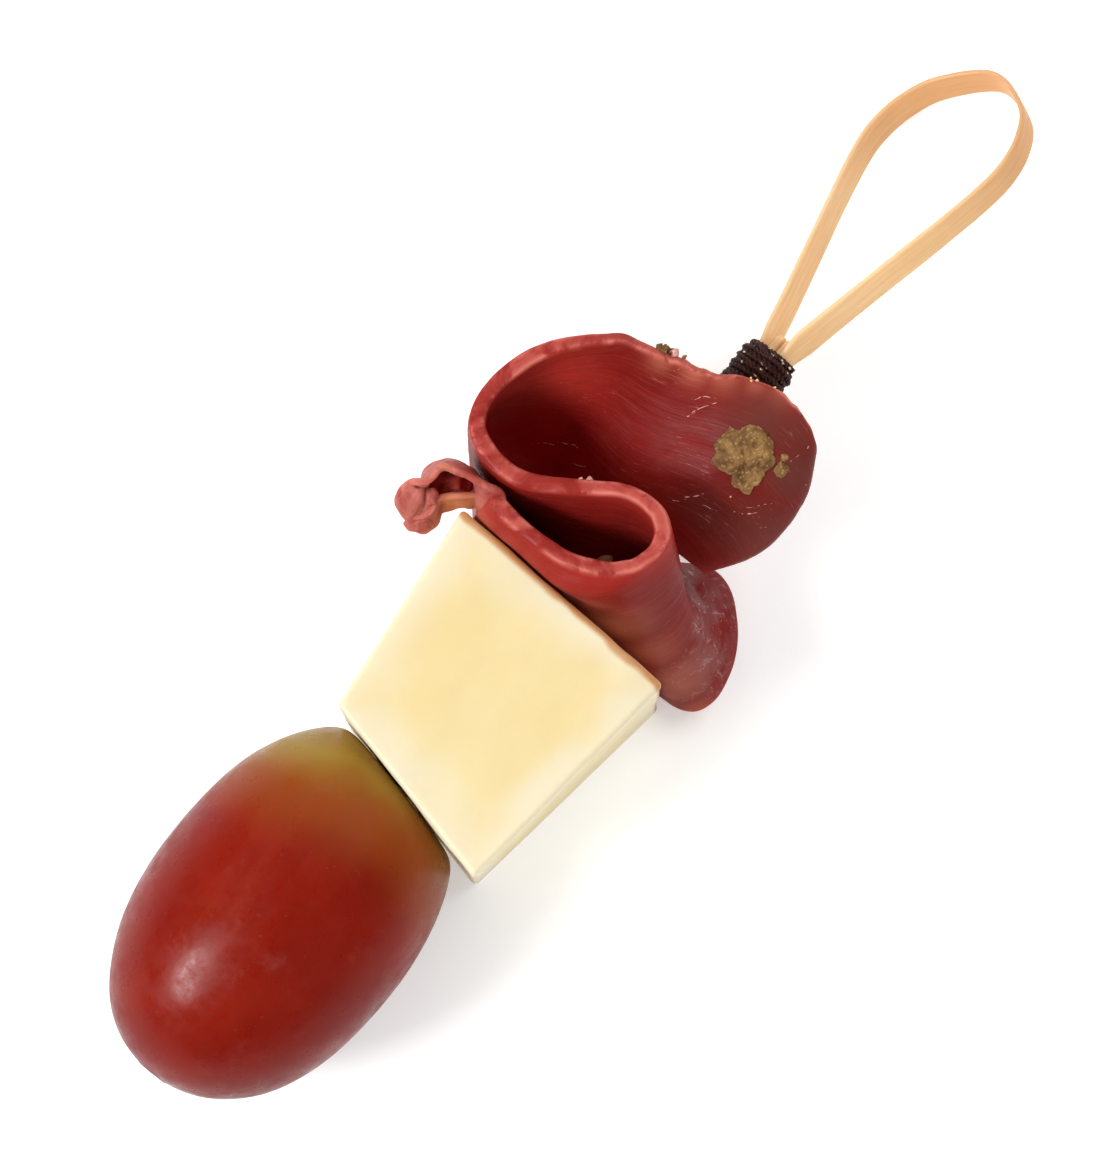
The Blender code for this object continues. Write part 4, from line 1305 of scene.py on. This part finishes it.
def make_floor():
    """Plain pale floor."""
    paint = Paint("studio_floor")
    paint.base(paint.noise(6, 2), (246, 246, 246), (250, 250, 250))
    material = paint.finish(
        Roughness=0.9,
        Specular_IOR_Level=0.1,
        Emission_Color=(1, 1, 1, 1),
        Emission_Strength=0.26,
    )
    mesh = bpy.data.meshes.new("studio_floor")
    corners = [(x * FLOOR_REACH, y * FLOOR_REACH, 0) for x, y in ((-1, -1), (1, -1), (1, 1), (-1, 1))]
    mesh.from_pydata(corners, [], [(0, 1, 2, 3)])
    mesh.materials.append(material)
    floor = bpy.data.objects.new("studio_floor", mesh)
    bpy.context.collection.objects.link(floor)


def camera_axes():
    """Right, up and forward directions of the camera."""
    heading = Vector((math.sin(CAMERA_HEADING), math.cos(CAMERA_HEADING), 0))
    forward = heading * math.cos(CAMERA_ELEVATION) - Vector((0, 0, math.sin(CAMERA_ELEVATION)))
    right = forward.cross(Vector((0, 0, 1))).normalized()
    return right, right.cross(forward), forward


def make_camera():
    """Long lens looking down on the skewer."""
    right, up, forward = camera_axes()
    data = bpy.data.cameras.new("camera")
    data.sensor_fit = "HORIZONTAL"
    data.sensor_width = SENSOR_WIDTH
    data.lens = SENSOR_WIDTH * CAMERA_DISTANCE / FRAME_WIDTH_AT_AIM
    data.clip_start = 0.01
    data.clip_end = 20
    camera = bpy.data.objects.new("camera", data)
    turn = Matrix((right, up, -forward)).transposed().to_4x4()
    place = (Vector(CAMERA_AIM) - forward * CAMERA_DISTANCE) * MM
    camera.matrix_world = Matrix.Translation(place) @ turn
    bpy.context.collection.objects.link(camera)
    bpy.context.scene.camera = camera


def add_soft_light(name, sideways, upward, height, size, power, glare=False):
    """Square soft light placed by its offset in the picture, in metres, and aimed at the skewer."""
    right, up, _ = camera_axes()
    flat_up = Vector((up.x, up.y, 0)).normalized()
    place = right * sideways + flat_up * upward + Vector((0, 0, height))
    data = bpy.data.lights.new(name, "AREA")
    data.size = size
    data.energy = power
    light = bpy.data.objects.new(name, data)
    light.location = place
    light.rotation_euler = (Vector(LIGHT_AIM) - place).to_track_quat("-Z", "Y").to_euler()
    light.visible_glossy = glare
    light.visible_diffuse = not glare
    bpy.context.collection.objects.link(light)


def make_studio():
    """Bright even surroundings, a key from the left, three weaker fills and a light seen only as glints."""
    world = bpy.data.worlds.new("studio")
    world.use_nodes = True
    background = world.node_tree.nodes["Background"]
    background.inputs["Color"].default_value = (1, 1, 1, 1)
    background.inputs["Strength"].default_value = 0.32
    bpy.context.scene.world = world
    add_soft_light("key", -0.64, -0.20, 0.62, 0.30, 6.4)
    add_soft_light("fill_right", 0.50, 0.45, 0.65, 0.60, 3.1)
    add_soft_light("fill_back", -0.30, 0.65, 0.60, 0.60, 2.7)
    add_soft_light("fill_front", 0.45, -0.60, 0.60, 0.60, 2.2)
    add_soft_light("glint", -0.66, -0.22, 0.66, 0.27, 16, glare=True)
    bpy.context.scene.view_settings.view_transform = "Standard"


make_floor()
make_camera()
make_studio()
make_grape()
make_cheese()
BEEF = beef_material()
SURFACE = Resting(make_beef(BEEF))
make_tail_lumps(BEEF)
make_strands(SURFACE)
CRUST = crust_material()
make_crust(SURFACE, CRUST)
make_crumbs(SURFACE, "brown_crumbs", CRUST, BROWN_CRUMBS)
PALE = crumb_material("pale_crumb", (168, 96, 86), (222, 176, 160))
make_crumbs(SURFACE, "pale_crumbs", PALE, PALE_CRUMBS)
GOLDEN = crumb_material("golden_crumb", (222, 160, 92), (250, 218, 160))
make_crumbs(SURFACE, "golden_crumbs", GOLDEN, GOLDEN_CRUMBS)
STICK = bamboo_material("bamboo_stick", (236, 194, 140), (220, 168, 108))
make_tine("stick_a", "tine_a", 1, STICK)
make_tine("stick_b", "tine_b", -1, STICK)
make_loop(bamboo_material("bamboo_strip", (240, 198, 144), (224, 176, 120)))
make_winding()
